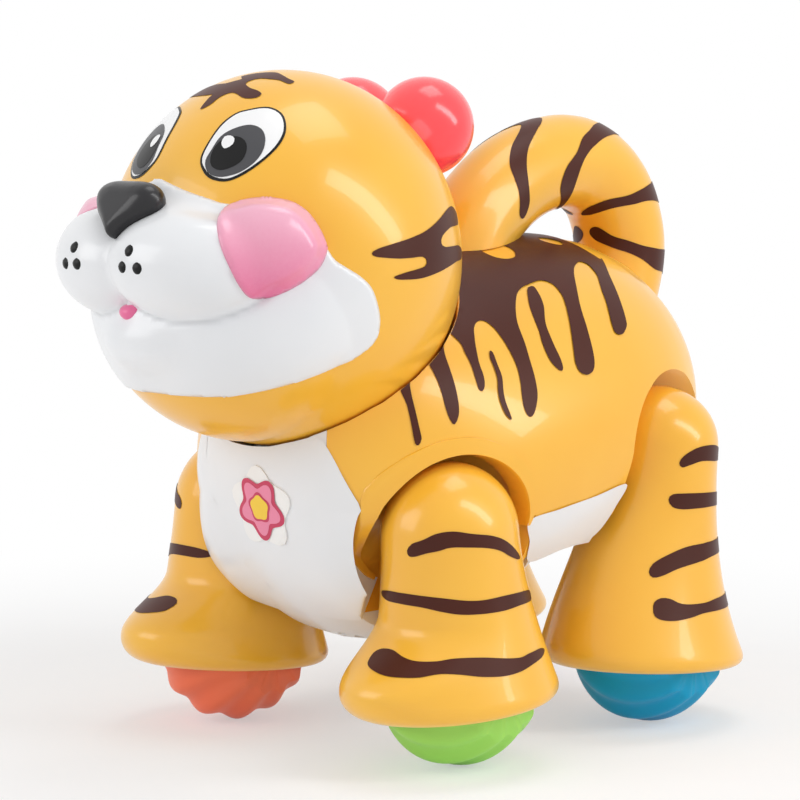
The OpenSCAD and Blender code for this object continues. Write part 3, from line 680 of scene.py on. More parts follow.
PATCH_SIDE = [
    (25.4, 39.7), (29, 41.4), (32.3, 40), (39.8, 35.9), (49.1, 32.2), (56.8, 29.3), (59, 28.1),
    (60.9, 25.4), (60.9, 23.7), (59.6, 22.6), (56.1, 23.5), (49.8, 26.1), (43.7, 28.5), (38.7, 31.3),
    (35, 32.2), (32.7, 32.3), (31.2, 30.7), (32.7, 27.5), (35, 24.9), (39.8, 21.5), (48.3, 16.7), (56, 14),
    (63.2, 11.9), (66.6, 10.7), (68.7, 9.1), (69.2, 6.7), (67.8, 4.8), (65.4, 4.5), (63.4, 5), (57.9, 7.3),
    (50.7, 10.6), (46, 12.7), (43, 13.7), (39.1, 14.1), (36.4, 12.9), (35.5, 11.1), (35.6, 8.8),
    (35.8, 6.8), (36.3, 4.2), (37.9, 1.4), (40.9, -1.4), (44.6, -4), (48.3, -5.8), (54.5, -7.4),
    (59.5, -8.7), (64.5, -9.7), (69.2, -10.9), (72.2, -12.4), (74.5, -14.1), (75.1, -15.4), (74.1, -16.2),
    (71.6, -16.4), (68.3, -15.7), (64.3, -14.4), (60.2, -13.4), (55.7, -12.9), (51.7, -12.7), (49.2, -12.7),
    (46.4, -12.8), (43.9, -13.4), (42.6, -14.5), (42.7, -16.2), (44.1, -17.9), (46.9, -19.5), (49.8, -20.9),
    (54.8, -22.7), (59.2, -23.5), (61.9, -24.5), (63.1, -25.7), (62.2, -26.4), (59, -25.9), (54.5, -25),
    (50.6, -24.6), (46.5, -24), (41, -25), (33, -27),
]
PATCH = PATCH_SIDE + [(-phi, y) for phi, y in PATCH_SIDE[::-1]]
SPOTS = [
    [(11, 10.5), (14, 8.4), (19, 8), (22.3, 9.8), (22.6, 13.2), (18.5, 16), (13, 15.5)],
    [(12, 31.5), (15, 29.8), (18.5, 31), (19.8, 33.6), (17, 35.8), (13, 34.6)],
]
print_on(
    "back_patch_print", "body", M["print"],
    [egg_loop(PATCH)] + [egg_loop(s) for s in SPOTS]
    + [egg_loop([(-a, y) for a, y in s[::-1]]) for s in SPOTS],
    on_egg, clear_of=(HEAD_BALL, 0.85),
)
DRIPS = {
    "middle": [
        (37.8, 5.1), (36.8, 6.7), (37.2, 7.9), (40.2, 7.4), (44.6, 5.8), (49.8, 2.7), (53.6, 1.5),
        (58.2, 0.8), (62, 0.6), (64.8, 0.1), (65.6, -0.8), (64.5, -1.9), (61.6, -2.8), (58.6, -2.7),
        (55.6, -2.2), (51.9, -1), (48, 0), (43.1, 1.8),
    ],
    "fore": [
        (40, -26.5), (47.9, -29.3), (52.5, -30.4), (58.5, -31.6), (64.1, -32.9), (67.4, -34.1), (69.5, -35.8),
        (67.8, -36.4), (64, -36.3), (59.6, -35.6), (55, -34.9), (50.9, -34.5), (42, -33.5),
    ],
    "chest": [
        (45, -39), (53.1, -41.3), (56.9, -42.2), (63.1, -43.2), (67.8, -43.8), (70.1, -44.1), (71.7, -45.1),
        (70.9, -45.7), (67.6, -45.4), (62.2, -44.6), (57.5, -43.9), (53.6, -43.6), (45, -42.6),
    ],
    "thin": [
        (52.7, -18.2), (53.4, -17.6), (57.5, -18.3), (61.2, -18.8), (65.1, -20.2), (68.5, -20.9),
        (73.7, -20.9), (73.4, -21.6), (71.2, -22.3), (67.6, -22.3), (64.5, -21.6), (61.3, -20.3),
        (57.8, -19.6), (54.7, -19.2),
    ],
}
for key, drip in DRIPS.items():
    for sign, side in SIDES:
        print_on(
            "drip_%s_%s_print" % (key, side), "body", M["print"], [egg_loop(drip)], on_egg, mirror=sign < 0,
            clear_of=(HEAD_BALL, 0.85),
        )


# Beside the front legs: a collar on the body round the top of each leg, with a wall that goes in behind it
def egg_x(y, z):
    """How far out the body's side lies at a place along and up."""
    q = tilt(np.array([0, y, z]) - BODY, -PITCH)
    rho = BODY_R * max(0.0, 1 - (abs(q[1]) / (RUMP if q[1] > 0 else CHEST)) ** EGG_POWER) ** (1 / EGG_POWER)
    return math.sqrt(max(0.0, rho * rho - q[2] * q[2]))


# Turn round the hip, and the rim's inner and outer radius there
COLLAR = [
    (2, 19.3, 19.9), (12, 19.4, 21.4), (24, 19.4, 22.8), (40, 19.4, 23), (60, 19.3, 23),
    (90, 19.2, 23), (120, 19, 23), (140, 18.8, 23.4), (150, 18.8, 23.3), (156, 18.8, 22.5),
    (162, 18.6, 21.5), (168, 18.2, 20.6), (176, 17.4, 19.2), (184, 16.3, 18.3), (195, 14.8, 17),
    (205, 14, 16), (215, 13.6, 15.4), (225, 13.4, 15), (236, 13.4, 14.4),
]
COLLAR_IN, COLLAR_PROUD, COLLAR_FOOT = 18, 0.3, 0.5
COLLAR_DOWN, DOWN_RUN, FREE_RUN = 160, 50, 8
POCKET_R = 21.5
FLOOR_X = 19.75


def along(table, t):
    """A table's value at a turn."""
    return np.interp(t, *zip(*table))


def hip_spot(r, t):
    """A place round the front hip, seen from the side."""
    a = math.radians(t)
    return HIP_Y[0] + r * math.cos(a), ROLLER_R + DROP[0] * math.cos(SWING) + r * math.sin(a)


def collar(side, sign):
    """A rim round the top of a front leg, which comes down before the leg onto the pocket's floor."""
    at, lows, highs = zip(*COLLAR)
    turns = np.arange(at[0], at[-1] + 0.1, 2)
    points, faces, wide = [], [], 0
    for t in turns:
        low, high = np.interp(t, at, lows), np.interp(t, at, highs)
        down, free = smooth_step((t - COLLAR_DOWN) / DOWN_RUN), smooth_step((t - COLLAR_DOWN) / FREE_RUN)
        crest = [
            ((1 - down) * (egg_x(*hip_spot(r, t)) + COLLAR_PROUD) + down * (FLOOR_X + COLLAR_FOOT), r)
            for r in np.linspace(high, low, 5)
        ]
        foot = (1 - free) * (crest[0][0] - 0.6) + free * (FLOOR_X - 0.2)
        row = [(foot, high + 0.15), (max(foot, crest[0][0] - 0.35), high + 0.1)] + crest
        row += [(max(COLLAR_IN, crest[-1][0] - k), low - 0.12) for k in (0.3, 1.2, 3, 6)]
        wide = len(row)
        points += [(sign * x, *hip_spot(r, t)) for x, r in row]
    for j in range(len(turns) - 1):
        for a in range(j * wide, (j + 1) * wide - 1):
            quad = (a, a + 1, a + 1 + wide, a + wide)
            faces.append(quad if sign < 0 else quad[::-1])
    place(mesh_object("hip_collar_%s_moulding" % side, points, faces, M["yellow"], 50), "body", "yellow")


# The white chest goes on beside the front leg: over the shell's edge, the pocket's floor and its rim
SHOULDER_R, CHEST_R, CHEST_LIFT = 24.2, 25.6, 0.15
# By the turn round the hip: the skin's inner edge, its end on the pocket's floor, the body's half width
# at its outer edge, its height at the pocket's edge, and the height that it has to keep under
# for the swinging leg
CHEST_EDGE = [
    (138, 34), (141, 31.8), (144, 29.9), (147, 28.2), (150, 26.6), (154, 24.6), (158, 22.8),
    (162, 21.6), (241, 21.6),
]
CHEST_FLOOR = [(166, 16), (181, 15.4), (195, 14.8), (207, 14.2), (220, 13.8), (241, 13.4)]
CHEST_END = [(165, 19), (180, 11), (190, 7)]
CHEST_RIM = [(164, 28.4), (172, 27.9), (180, 27.5), (188, 27.3), (200, 27.2), (212, 27.1)]
LEG_WAY = [(215, 29), (222, 25.8), (230, 23.2), (236, 21.3), (241, 19.9)]


def chest_side(side, sign):
    """White skin from the bib to the hip: on the body's side, the shoulder's edge and the pocket's floor."""
    points, faces, columns = [], [], []
    for t in np.append(np.arange(138, 240.1, 2), 241):
        low = along(CHEST_EDGE, t)
        high = max(low + 0.8, CHEST_R)
        while egg_x(*hip_spot(high, t)) > along(CHEST_END, t):
            high += 0.1
        lift = along(CHEST_RIM, t) - egg_x(*hip_spot(POCKET_R, t))
        gap = max(0.0, FLOOR_X - egg_x(*hip_spot(SHOULDER_R, t)), lift)
        deep, run = 0.5 + 1.5 * smooth_step((t - 165) / 20), min(4.0, 0.4 * (high - low))
        inner = [None] * 8
        if t >= CHEST_FLOOR[0][0]:
            inner = list(np.linspace(along(CHEST_FLOOR, t), POCKET_R - 0.1, 8))
        column = []
        for r in inner + list(np.linspace(low, high, 18)):
            column.append(None if r is None else len(points))
            if r is None:
                continue
            x = FLOOR_X
            if r > POCKET_R:
                near = smooth_step((high - r) / (high - SHOULDER_R)) if high > SHOULDER_R else 0.0
                sink = deep * smooth_step((r - high + run) / run)
                x = egg_x(*hip_spot(r, t)) + CHEST_LIFT - sink + gap * near
                x = min(max(x, FLOOR_X) if r < SHOULDER_R else x, along(LEG_WAY, t))
            points.append((sign * x, *hip_spot(r, t)))
        columns.append(column)
    for a, b in zip(columns, columns[1:]):
        for k in range(len(a) - 1):
            quad = (a[k], a[k + 1], b[k + 1], b[k])
            if None not in quad:
                faces.append(quad[::-1] if sign > 0 else quad)
    piece = mesh_object("chest_side_%s_moulding" % side, points, faces, M["white"], 40)
    place(piece, "body", "white")


# The white belly shows as a band along the body's lower side, between the legs
BAND = [
    (105.5, -19.4), (105.2, -9), (105.6, 3), (106, 15), (112, 12.4), (121, 6), (121, -6), (121, -16.6),
    (113, -18.4),
]
for sign, side in SIDES:
    print_on(
        "belly_band_%s_moulding" % side, "body", M["white"], [egg_loop(BAND)], on_egg, 0.2, sign < 0,
        slot="white",
    )

# Rings of the tail: turn round the tail, place along it, half width
TAIL_STRIPES = [
    [(-16, 42.6, 0.8), (-8, 43.6, 2.3), (5, 45.6, 2.1), (15, 47, 2), (30, 48.9, 2.4), (45, 51.6, 3.2),
     (60, 56.4, 4), (75, 61.5, 3.4), (90, 64, 3)],
    [(-74, 65.6, 0.6), (-60, 64.4, 1.3), (-45, 63.4, 2), (-20, 62.6, 3.4), (0, 65, 3.2), (15, 69.5, 2.5),
     (30, 73.7, 3.2), (45, 77.8, 3), (62, 81.6, 3), (78, 84, 3), (90, 85, 3)],
    [(-82, 87.4, 0.7), (-76, 86.6, 2), (-70, 86.3, 2.7), (-62, 86.2, 3), (-45, 87.7, 2.8), (-20, 92.3, 2),
     (0, 94.4, 1.8), (18, 96, 2), (35, 97.4, 2.3), (60, 99, 2.5), (90, 100, 2.5)],
    [(-84, 100.4, 0.8), (-80, 100.6, 2.4), (-76, 101, 3.2), (-70, 101.8, 3.7), (-55, 105.8, 3.3),
     (-40, 107.9, 2.8), (-20, 110.3, 2.2), (5, 112, 2.6), (33, 112.2, 2.4), (60, 112.6, 2.5), (90, 113, 2.5)],
]
TURN = math.radians(1) * TAIL_R


def on_tail(u, v):
    return tail_point(u, v / TURN)


for n, stripe in enumerate(TAIL_STRIPES):
    whole = stripe + [(180 - t, s, w) for t, s, w in stripe[-2::-1]]
    loop = [(s - w, t * TURN) for t, s, w in whole] + [(s + w, t * TURN) for t, s, w in whole[::-1]]
    print_on("tail_stripe_%d_print" % (n + 1), "body", M["print"], [loop], on_tail, clear_of=(EGG, 0.2))

# Stripes of the legs: turn round the leg (0 outwards, -90 toe) and height from the hip
FRONT_STRIPES = [
    [(-79.6, -0.5), (-74.7, 1.1), (-64.8, 2.1), (-52.8, 3.5), (-38.9, 3.8), (-22.7, 2.8), (-5, 1.6),
     (9.8, -0.4), (25, -3.6), (31.6, -5.7), (25.2, -5.7), (13.9, -4.3), (1.5, -2.2), (-11.8, -0.9),
     (-28.5, -0.1), (-41.9, 0.2), (-50.8, -0.4), (-62.2, -1), (-71.9, -1.8), (-77.7, -1.8)],
    [(-118, -11.6), (-105, -10.8), (-90.7, -10.6), (-73.9, -10.7), (-52.1, -11.3), (-31.9, -12.3),
     (-19.3, -12.6), (0.1, -12.6), (20.8, -13.1), (38, -13.9), (44.6, -14.8), (44, -15.8), (38, -16.4),
     (15.9, -15.9), (-2.3, -15.9), (-20.8, -15.7), (-38.9, -15.3), (-52.6, -14.5), (-69.4, -13.5),
     (-89.4, -13.2), (-106, -13.2), (-117, -12.6)],
    [(-100.6, -25.7), (-102, -24.4), (-97.1, -23.4), (-86.3, -23.2), (-73.9, -24.2), (-63.6, -24.8),
     (-50, -24.9), (-39, -24.6), (-21, -25.2), (1.5, -27), (12.5, -26.9), (27.6, -27.1), (35.5, -28.1),
     (28.2, -29), (13.6, -29.5), (1.3, -30.1), (-8.7, -30.1), (-20.6, -29.2), (-32.5, -28), (-44.4, -27.4),
     (-54.8, -27.8), (-64.3, -27.8), (-77.1, -27.6), (-89.2, -27), (-97.5, -26.4)],
]
REAR_STRIPES = [
    [(-29.7, -3.5), (-25.8, -1.8), (-14.3, 0), (-0.4, 0.8), (18, 0.8), (40, -0.4), (48, -1.6), (42, -3),
     (22, -3.2), (5.4, -3), (-6.7, -3.1), (-19.5, -4.1), (-26.6, -4.6)],
    [(-35.8, -12.6), (-32.7, -11.3), (-21.1, -11), (-2.9, -10.9), (16.1, -10.9), (40, -11.2), (58, -12),
     (62, -12.9), (56, -14), (38, -14.4), (16.6, -14.4), (-6.2, -14.7), (-22.7, -14.9), (-31.6, -14.3)],
    [(-40.6, -30.2), (-38.8, -28.2), (-30.2, -26.2), (-16.2, -24.2), (0, -23.4), (14, -23), (38, -22.6),
     (60, -23.2), (65, -24.4), (58, -25.8), (36, -26.2), (12.4, -26.8), (-9.1, -28.3), (-21.4, -29.5),
     (-31.3, -31.1), (-37.4, -31.5)],
    [(-35, -39), (-34.6, -37.4), (-30.8, -36.4), (-24.8, -36.6), (-17.1, -37.9), (-3.9, -38), (14, -37.1),
     (42.1, -36.6), (66, -36.8), (74, -38), (66, -39.6), (40.2, -39.8), (12.2, -40.1), (-2.5, -40.4),
     (-11.9, -41.3), (-22, -41.9), (-30, -41.6), (-33.9, -40.6)],
]
BEND = math.radians(1) * 20
for i, name in enumerate(LEG_NAMES):
    for n, stripe in enumerate(FRONT_STRIPES if i < 2 else REAR_STRIPES):
        print_on(
            "leg_%s_stripe_%d_print" % (name, n + 1), "leg_" + name, M["print"],
            [[(t * BEND, z) for t, z in stripe]], lambda u, v, i=i: leg_point(i, u / BEND, v),
            outward=SIDE[i],
        )


for sign, side in SIDES:
    collar(side, sign)
    chest_side(side, sign)


# Marks of the head: azimuth from the face towards the left, height angle, both seen from the head's middle
def sight(azimuth, height):
    a, h = math.radians(azimuth), math.radians(height)
    return np.array([math.cos(h) * math.sin(a), -math.cos(h) * math.cos(a), math.sin(h)])


def far_side(d, centre, radii, yaw=0.0):
    """How far from the head's middle, along directions, a blob's far side lies; 1 where it is missed."""
    cy, sy = math.cos(yaw), math.sin(yaw)

    def own(v):
        turned = np.stack([cy * v[..., 0] + sy * v[..., 1], -sy * v[..., 0] + cy * v[..., 1], v[..., 2]], -1)
        return turned / np.asarray(radii, float)

    step, start = own(d), own(np.broadcast_to(np.asarray(centre, float), d.shape))
    a, b, c = (step * step).sum(-1), (step * start).sum(-1), (start * start).sum(-1) - 1
    inner = b * b - a * c
    return np.where(inner > 0, (b + np.sqrt(np.maximum(inner, 0))) / a, 1.0)


def soft_max(k, *values):
    """The largest of the values, with a rounded change from one to another."""
    top = np.maximum.reduce(values)
    return top + k * np.log(sum(np.exp((v - top) / k) for v in values))


def ease(x):
    x = np.clip(x, 0, 1)
    return x * x * (3 - 2 * x)


def bulge(x):
    """A rounded edge: steep at 0, level from 1 on."""
    return np.sqrt(1 - (1 - np.clip(x, 0, 1)) ** 2)


# Blobs of the head, from its middle: place and radii; lobes and bridge come in pairs
CHIN = (0, -11, -4.5), (38.2, 36.8, 37.8)
LOBE, LOBE_YAW = ((13.6, -37.5, 1), (15.6, 20.5, 13.4)), math.radians(50)
BRIDGE = (9.5, -34.5, 6.5), (13, 13, 12.5)
LIP = (0, -36, -16.5), (15, 13, 9)
JAW = (0, -10, -7), (39, 37.6, 36.6)
GROOVE_DEPTH, GROOVE_WIDTH = 1.8, 2.2
CHIN_FROM, CHIN_REACH, CHIN_RUN = -13, 45, 10


def pair(d, blob, yaw=0.0):
    """The far sides of a blob on the left and of its twin on the right."""
    (x, y, z), radii = blob
    return [far_side(d, (s * x, y, z), radii, -s * yaw) for s in (1, -1)]


def head_skin(d):
    """The yellow head with its chin, along directions from its middle."""
    head = far_side(d, (0, 0, 0), (HEAD_R, HEAD_R, HEAD_H))
    chin = far_side(d, *CHIN)
    return head + np.maximum(0, chin - head) * ease((CHIN_FROM - CHIN_REACH * d[:, 2]) / CHIN_RUN)


def face_skin(d):
    """The white lower face: two long lobes under the bridge of the nose, over a groove and the round jaw."""
    muzzle = soft_max(0.45, *pair(d, LOBE, LOBE_YAW), soft_max(1.2, *pair(d, BRIDGE)))
    jaw = soft_max(1.2, far_side(d, *LIP), far_side(d, *JAW))
    jaw = jaw - GROOVE_DEPTH * np.exp(-(((jaw - muzzle) / GROOVE_WIDTH) ** 2))
    return soft_max(0.25, muzzle, jaw)


FLAT_R = 43.0


def head_film(name, mat, loops, radial, flip=None, step=1.4, axis=None, slot="nose_black"):
    """A piece of skin inside outlines on the head, at the distance that radial gives for directions and for
    how far inside the outline they lie; worked in a plane that touches the head at the outline's middle."""
    loops = [[(2 * flip - a, h) for a, h in loop] if flip is not None else loop for loop in loops]
    dirs = [np.array([sight(a, h) for a, h in loop]) for loop in loops]
    axis = dirs[0].mean(0) if axis is None else np.asarray(axis, float)
    axis = axis / np.linalg.norm(axis)
    right = np.cross([0, 0, 1], axis)
    right /= np.linalg.norm(right)
    up = np.cross(axis, right)
    flat = []
    for d in dirs:
        angle = np.arccos(np.clip(d @ axis, -1, 1))
        u, v = d @ right, d @ up
        flat.append(np.stack([u, v], -1) * (FLAT_R * angle / np.maximum(1e-9, np.hypot(u, v)))[:, None])
    verts, faces = film(flat, step)
    edge = np.vstack([closed_curve(loop, EDGE_STEP) for loop in flat])
    inset = np.array([math.sqrt(np.min(np.sum((edge - v) ** 2, 1))) for v in verts])
    r = np.hypot(verts[:, 0], verts[:, 1])
    turn = verts / np.maximum(1e-9, r)[:, None]
    across = turn[:, :1] * right + turn[:, 1:] * up
    d = np.cos(r / FLAT_R)[:, None] * axis + np.sin(r / FLAT_R)[:, None] * across
    obj = mesh_object(name, HEAD + d * radial(d, inset)[:, None], faces, mat)
    return place(obj, "head", slot)


def head_print(name, mat, loops, lift, flip=None, slot="nose_black"):
    """A printed mark on the head."""
    return head_film(name, mat, loops, lambda d, inset: head_skin(d) + lift, flip, slot=slot)


def thick(obj, depth):
    """Gives a skin a wall on its inner side."""
    wall = obj.modifiers.new("wall", "SOLIDIFY")
    wall.thickness = depth * MM
    wall.offset = -1
    return obj


# The yellow head: one round skin, open below for the neck
NECK_HOLE = 8
head_points, head_faces = [], []
LAT, LON = 96, 144
for j in range(LAT + 1):
    h = 180 * j / LAT - 90
    head_points += [sight(360 * k / LON, h) for k in range(LON)]
head_points = np.array(head_points)
head_points = HEAD + head_points * head_skin(head_points)[:, None]
for j in range(LAT):
    for k in range(LON):
        m = (k + 1) % LON
        quad = (j * LON + k, j * LON + m, (j + 1) * LON + m, (j + 1) * LON + k)
        middle = head_points[list(quad)].mean(0) - HEAD
        if middle[2] > 0 or math.hypot(middle[0], middle[1]) > NECK_HOLE:
            head_faces.append(quad)
head_piece = mesh_object("head_moulding", head_points, head_faces, M["yellow"])
edit(head_piece.data, lambda shape: bmesh.ops.remove_doubles(shape, verts=shape.verts, dist=1e-6))
edit(head_piece.data, lambda shape: bmesh.ops.delete(
    shape, geom=[v for v in shape.verts if not v.link_faces], context="VERTS",
))
place(thick(head_piece, 2), "head", "yellow", "head_shell")

# The white lower face, with a rounded lip where it meets the head
FACE_SIDE = [
    (3, 27), (10.9, 24.8), (17.6, 23), (23.5, 21.5), (27.9, 20.3), (34, 19.8), (41.2, 19.5), (48.6, 18.6),
    (54.8, 15.4), (58.7, 10.8), (61.7, 6), (63.9, 2.9), (67.7, 0.4), (72, -2.2), (75.9, -5.7), (78.4, -10.4),
    (80.3, -15.9), (80.5, -21.2), (78.3, -25.1), (71.7, -29.7), (63.6, -32.3), (55.3, -34), (46.6, -35.5),
    (38.1, -36.6), (29.5, -37.3), (20.8, -37.3), (11.4, -37),
]
FACE_LINE = [(0, 27.6)] + FACE_SIDE + [(0, -36.6)] + [(-a, h) for a, h in FACE_SIDE[::-1]]


def white_face(d, inset):
    skin = head_skin(d)
    proud = np.maximum(0, face_skin(d) - skin - 0.7)
    return skin + 0.05 + 0.65 * bulge(inset / 1.2) + proud * ease(inset / 7)


face_piece = head_film(
    "muzzle_moulding", M["white"], [FACE_LINE], white_face, step=0.9, axis=(0, -1, -0.1), slot="white",
)
thick(face_piece, 1.2)
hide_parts("muzzle")

# Cheeks: pillows over the edge between the white and the yellow
CHEEK_LINE = [
    (29.8, 18.7), (33.7, 20.7), (37.8, 21.7), (42.3, 22), (47, 21.6), (51.7, 20.3), (55.7, 17.5),
    (58.6, 13.6), (60.6, 9.5), (61.3, 5.9), (59.2, 1.2), (54.9, -2.6), (49.8, -5.5), (44.4, -7.5),
    (40.8, -8), (38.6, -6.9), (37, -4), (34.9, 1.1), (32.4, 6.8), (30.2, 13.3),
]
PAD, PAD_R = 31.5 * sight(44, 6), 17.5


def cheek_skin(d, inset):
    base = soft_max(1.0, head_skin(d) + 0.6, face_skin(d))
    near = d * np.where(d[:, :1] < 0, [-1, 1, 1], [1, 1, 1])
    pad = soft_max(0.8, base, far_side(near, PAD, (PAD_R, PAD_R, PAD_R)))
    return base + (pad - base) * ease(inset / 4) + 0.9 * bulge(inset / 1.2) + 0.5 * ease(inset / 9)


for flip, side in ((None, "left"), (0.0, "right")):
    cheek = head_film(
        "cheek_%s_moulding" % side, M["cheek"], [CHEEK_LINE], cheek_skin, flip, 0.8, slot="pink",
    )
    thick(cheek, 1)
    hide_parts("cheek_" + side)

# The tip of the tongue, under the lobes
TONGUE, TONGUE_R = (-46.3, -10.2), (2.9, 2.6, 1.9)
tongue_rings = []
for k in range(1, 20):
    t = math.radians(180 * k / 20 - 90)
    tongue_rings.append([
        HEAD + np.array([
            TONGUE_R[0] * math.cos(t) * math.cos(a), TONGUE[0] + TONGUE_R[1] * math.cos(t) * math.sin(a),
            TONGUE[1] + TONGUE_R[2] * math.sin(t) + 0.35 * math.cos(a) ** 2 * math.cos(t),
        ]) for a in circle(10)
    ])
place(closed_skin("tongue_moulding", tongue_rings, M["pink"]), "head", "pink", "tongue")

# The left eye, layer by layer; the right one mirrors it about FACE, a little to the left of the head's middle
FACE, SHIFT = 5.0, 2.5
EYE = {
    "rim": [(18.6, 34.8), (19.6, 41.4), (22.1, 48), (26.7, 52.3), (31.8, 53.9), (42.9, 55.2), (50.3, 51.8),
            (51.8, 45.6), (49.4, 40.1), (44.4, 34.9), (37.8, 30), (31.3, 27.2), (25, 27.9), (21, 30.7)],
    "white": [(19.5, 34.7), (20.5, 41.2), (23, 47.4), (27.3, 51.6), (32.2, 53.2), (42.6, 54.4),
              (49.3, 51.3), (50.7, 45.6), (48.4, 40.4), (43.8, 35.5), (37.4, 30.8), (31.3, 28.1),
              (25.6, 28.8), (21.9, 31.2)],
    "iris": [(21.2, 34), (22.3, 37.7), (24.5, 42.8), (29.9, 46), (36.2, 47.2), (41.2, 45.6), (43.4, 42),
             (42.9, 37.4), (40.1, 33.3), (35.2, 30), (29.4, 28.5), (24.9, 29.1), (22.5, 30.9)],
    "pupil": [(23, 34.8), (23.4, 38.7), (26.4, 41.9), (31.5, 42.6), (35.3, 41), (36.7, 37.8), (35.6, 34.1),
              (32.3, 31.8), (28, 30.7), (24.4, 32)],
    "glint": [(25.8, 40.1), (26.3, 42.4), (28.8, 42.8), (30.8, 41.7), (30.7, 39.6), (28.6, 38.2),
              (27.1, 38.4)],
}
EYE_INKS = {
    "rim": "eye_black", "white": "eye_white", "iris": "eye_grey", "pupil": "eye_black", "glint": "eye_white",
}
for n, (key, loop) in enumerate(EYE.items()):
    loop = [(a - SHIFT, h) for a, h in loop]
    for flip, side in ((None, "left"), (FACE, "right")):
        slot = "white" if EYE_INKS[key] == "eye_white" else "nose_black"
        head_print("eye_%s_%s_print" % (key, side), M[EYE_INKS[key]], [loop], 0.1 + 0.07 * n, flip, slot)
BROW_SHIFT = 6
BROW = [
    (-40, 61), (-35, 63.1), (-30, 65.6), (-18, 68), (-3.3, 68.8), (3.6, 70.8), (8.2, 72.5), (-3.9, 75),
    (5, 78), (21.9, 79.7), (41.2, 79.7), (53.5, 75.8), (59.7, 72.3), (63.9, 70.2), (59.6, 68.4),
    (55.9, 69.2), (50, 71.4), (40.5, 72.3), (30.2, 72.9), (22.3, 71.1), (21.9, 68.4), (29.1, 65.7),
    (36.3, 64), (40.2, 62), (38.4, 60), (33.5, 59.4), (28.7, 60), (24.3, 61.6), (19, 62.7), (15.1, 62),
    (12.1, 60), (10.9, 56.7), (8.4, 54.6), (5.9, 54.1), (4.7, 56.7), (3.2, 60), (2.5, 61.6), (-4.7, 61.1),
    (-15.6, 60.7), (-30, 60), (-38, 59.6),
]
head_print("brow_print", M["print"], [[(a - BROW_SHIFT, h) for a, h in BROW]], PRINT_LIFT)
FORK = [
    (76, 4.7), (78.5, 6), (84.6, 7.4), (91.5, 8.8), (99.1, 10.7), (107.3, 13.6), (116.5, 16.8), (124, 17.6),
    (130, 15), (128, 11.8), (122, 11.4), (115.7, 11), (109, 8.8), (107.6, 6.6), (109.9, 5.3), (116.8, 5.2),
    (124, 5), (130, 3), (128, 0.6), (118.8, 0), (105.4, -2.4), (96.2, -3.8), (88.9, -3.9), (85.2, -3.6),
    (84.3, -2.8), (88.8, -1.7), (94, -0.9), (97.6, -0.1), (98.5, 1.4), (96.6, 2.8), (91, 2.7), (86, 2.7),
    (81, 3.1), (77.3, 3.6),
]
for flip, side in ((None, "left"), (0.0, "right")):
    head_print("head_stripe_%s_print" % side, M["print"], [FORK], PRINT_LIFT, flip)

# Whisker dots: small dark domes on the lobes
DOTS, DOT_R = ((10.2, 4.6), (8.4, 0.8), (13.2, 0.7)), 1.45
for sign, side in SIDES:
    for n, (a, h) in enumerate(DOTS):
        ring = [(sign * (a + DOT_R * math.cos(t)), h + DOT_R * math.sin(t)) for t in circle(30)]
        head_film(
            "whisker_%s_%d_print" % (side, n + 1), M["eye_black"], [ring],
            lambda d, inset: face_skin(d) - 0.1 + 0.6 * bulge(inset / 1.2), step=0.4,
        )


# The chest sticker: a plain flower
def on_bib(u, v):
    """The film's face, found along Y from in front of the chest."""
    x, z = u + 3, v + BODY[2] - 12
    low, high = -60.0, BODY[1]
    for _ in range(40):
        mid = (low + high) / 2
        away = EGG(np.array([[x, mid, z]]))[0][0]
        low, high = (mid, high) if away > 0.4 else (low, mid)
    return np.array([x, low, z])


def petals(count, base, swell, turn):
    out = []
    for t in np.arange(0, 360, 6):
        r = base + swell * math.cos(math.radians(count * (t - turn)))
        out.append((r * math.sin(math.radians(t)), r * math.cos(math.radians(t))))
    return out


for n, (ink, loop) in enumerate((
    ("ink_red", petals(5, 6.9, 1.1, 36)), ("ink_pink", petals(5, 5.7, 1.1, 36)),
    ("ink_red", petals(5, 3.5, 0.3, 0)), ("ink_gold", petals(5, 2.9, 0.2, 0)),
)):
    print_on(
        "sticker_flower_%d_print" % (n + 1), "body", M[ink], [loop], on_bib, 0.05 + 0.05 * n, slot="sticker",
    )

# The nodes that show as they are

SLOTS = {part["node"]: part["material_slot"] for part in frame["record"]["subparts"]}
for node, obj in NODES.items():
    mat = M[SLOTS[node]] if SLOTS[node] in M else M["white"]
    if obj.material_slots:
        for held in obj.material_slots:
            held.material = mat
    else:
        obj.data.materials.append(mat)

# Stage, light and camera

PAPER_NEAR, PAPER_FAR, PAPER_MIX = 0.12, 0.3, 0.45
SKY_LIGHT = 0.5


def seen_rays(tree):
    """1 for the rays that see a plain white background: camera, glossy and transmission rays."""
    rays = tree.nodes.new("ShaderNodeLightPath").outputs
    direct = sums(tree, "MAXIMUM", rays["Is Camera Ray"], rays["Is Glossy Ray"])
    return sums(tree, "MAXIMUM", direct, rays["Is Transmission Ray"])


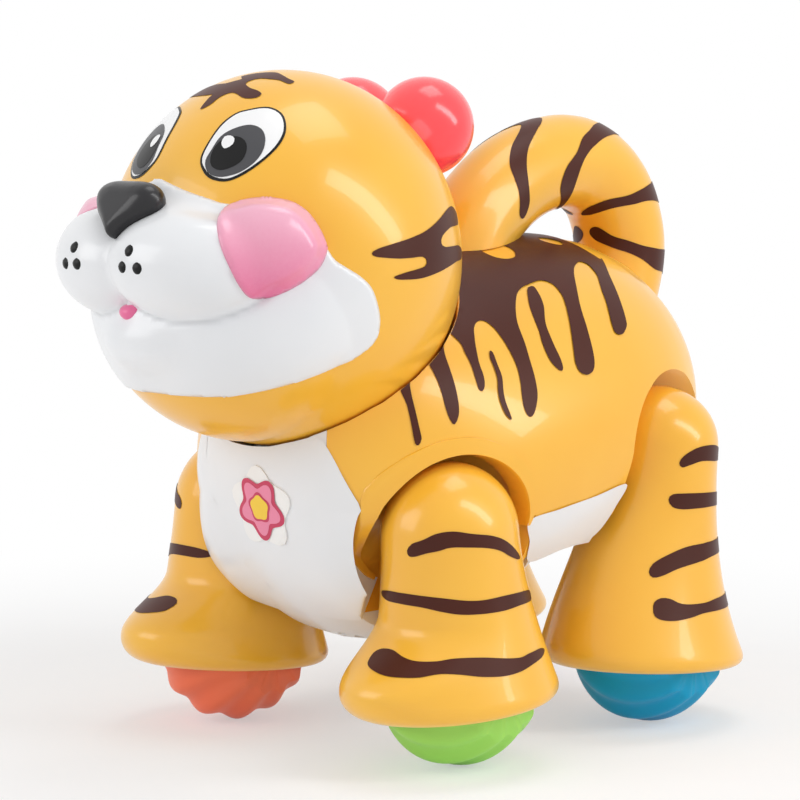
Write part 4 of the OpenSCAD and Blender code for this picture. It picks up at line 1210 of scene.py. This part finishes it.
# The floor: pale paper that turns to plain white away from the toy
paper, tree, bsdf, where = shader("floor_paper")
grain = add(tree, "TexNoise", "Fac", Vector=where, Scale=60)
tone = tones(tree, grain, rgb(250, 250, 251), rgb(253, 253, 253))
settle(bsdf, Base_Color=tone, Roughness=0.9, Specular_IOR_Level=0.0)
away = sums(tree, "LENGTH", where, kind="VectorMath")
fade = add(tree, "MapRange", "Result", Value=away, From_Min=PAPER_NEAR, From_Max=PAPER_FAR, To_Min=PAPER_MIX)
fade.node.interpolation_type = "SMOOTHSTEP"
either = tree.nodes.new("ShaderNodeMixShader")
glow = add(tree, "Emission", "Emission", Color=(1, 1, 1, 1), Strength=1.0)
for socket, value in zip(
    either.inputs, (sums(tree, "MULTIPLY", fade, seen_rays(tree)), bsdf.outputs["BSDF"], glow),
):
    feed(socket, value)
settle(tree.nodes["Material Output"], Surface=either.outputs["Shader"])
floor = mesh_object(
    "floor", [(-2000, -2000, -0.2), (2000, -2000, -0.2), (2000, 2000, -0.2), (-2000, 2000, -0.2)],
    [(0, 1, 2, 3)], paper,
)

world = bpy.data.worlds.new("studio")
bpy.context.scene.world = world
world.use_nodes = True
tree = world.node_tree
level = add(tree, "MapRange", "Result", Value=seen_rays(tree), To_Min=SKY_LIGHT, To_Max=1.0)
settle(tree.nodes["Background"], Color=(1, 1, 1, 1), Strength=level)


def softbox(name, spot, aim, size, power, along=(0, 0, 1)):
    """A rectangular lamp that looks at a point, with its long side along a direction."""
    data = bpy.data.lights.new(name, "AREA")
    data.shape = "RECTANGLE"
    data.size, data.size_y = size
    data.energy = power
    lamp = add_object(name, data)
    lamp.location = spot
    back = (Vector(spot) - Vector(aim)).normalized()
    up = Vector(along)
    up = (up - up.dot(back) * back).normalized()
    lamp.rotation_euler = Matrix((up.cross(back), up, back)).transposed().to_euler()


softbox("key", (0.83, 0.27, 0.6), (0, 0, 0.09), (0.2, 1.0), 4.2, (0.18, 0.72, -0.7))
softbox("fill", (-0.4, -0.95, 0.5), (0, 0, 0.07), (0.7, 0.6), 3.2)
softbox("top", (0.1, 0.15, 1.1), (0, 0, 0.1), (0.5, 0.5), 2.2, (0, 1, 0))

CAMERA_FAR, CAMERA_HIGH, CAMERA_TURN = 700, 157.5, math.radians(45)
CAMERA_AIM = Vector((0, BODY[1] - 16.5, 82.5)) * MM
camera = add_object("photo_camera", bpy.data.cameras.new("photo_camera"))
eye = Vector((
    CAMERA_FAR * math.sin(CAMERA_TURN), BODY[1] - CAMERA_FAR * math.cos(CAMERA_TURN), CAMERA_HIGH,
)) * MM
camera.location = eye
camera.rotation_euler = (CAMERA_AIM - eye).to_track_quat("-Z", "Y").to_euler()
camera.data.lens = 126
camera.data.sensor_width = 36
camera.data.clip_start = 0.01
bpy.context.scene.camera = camera
bpy.context.scene.view_settings.view_transform = "Standard"
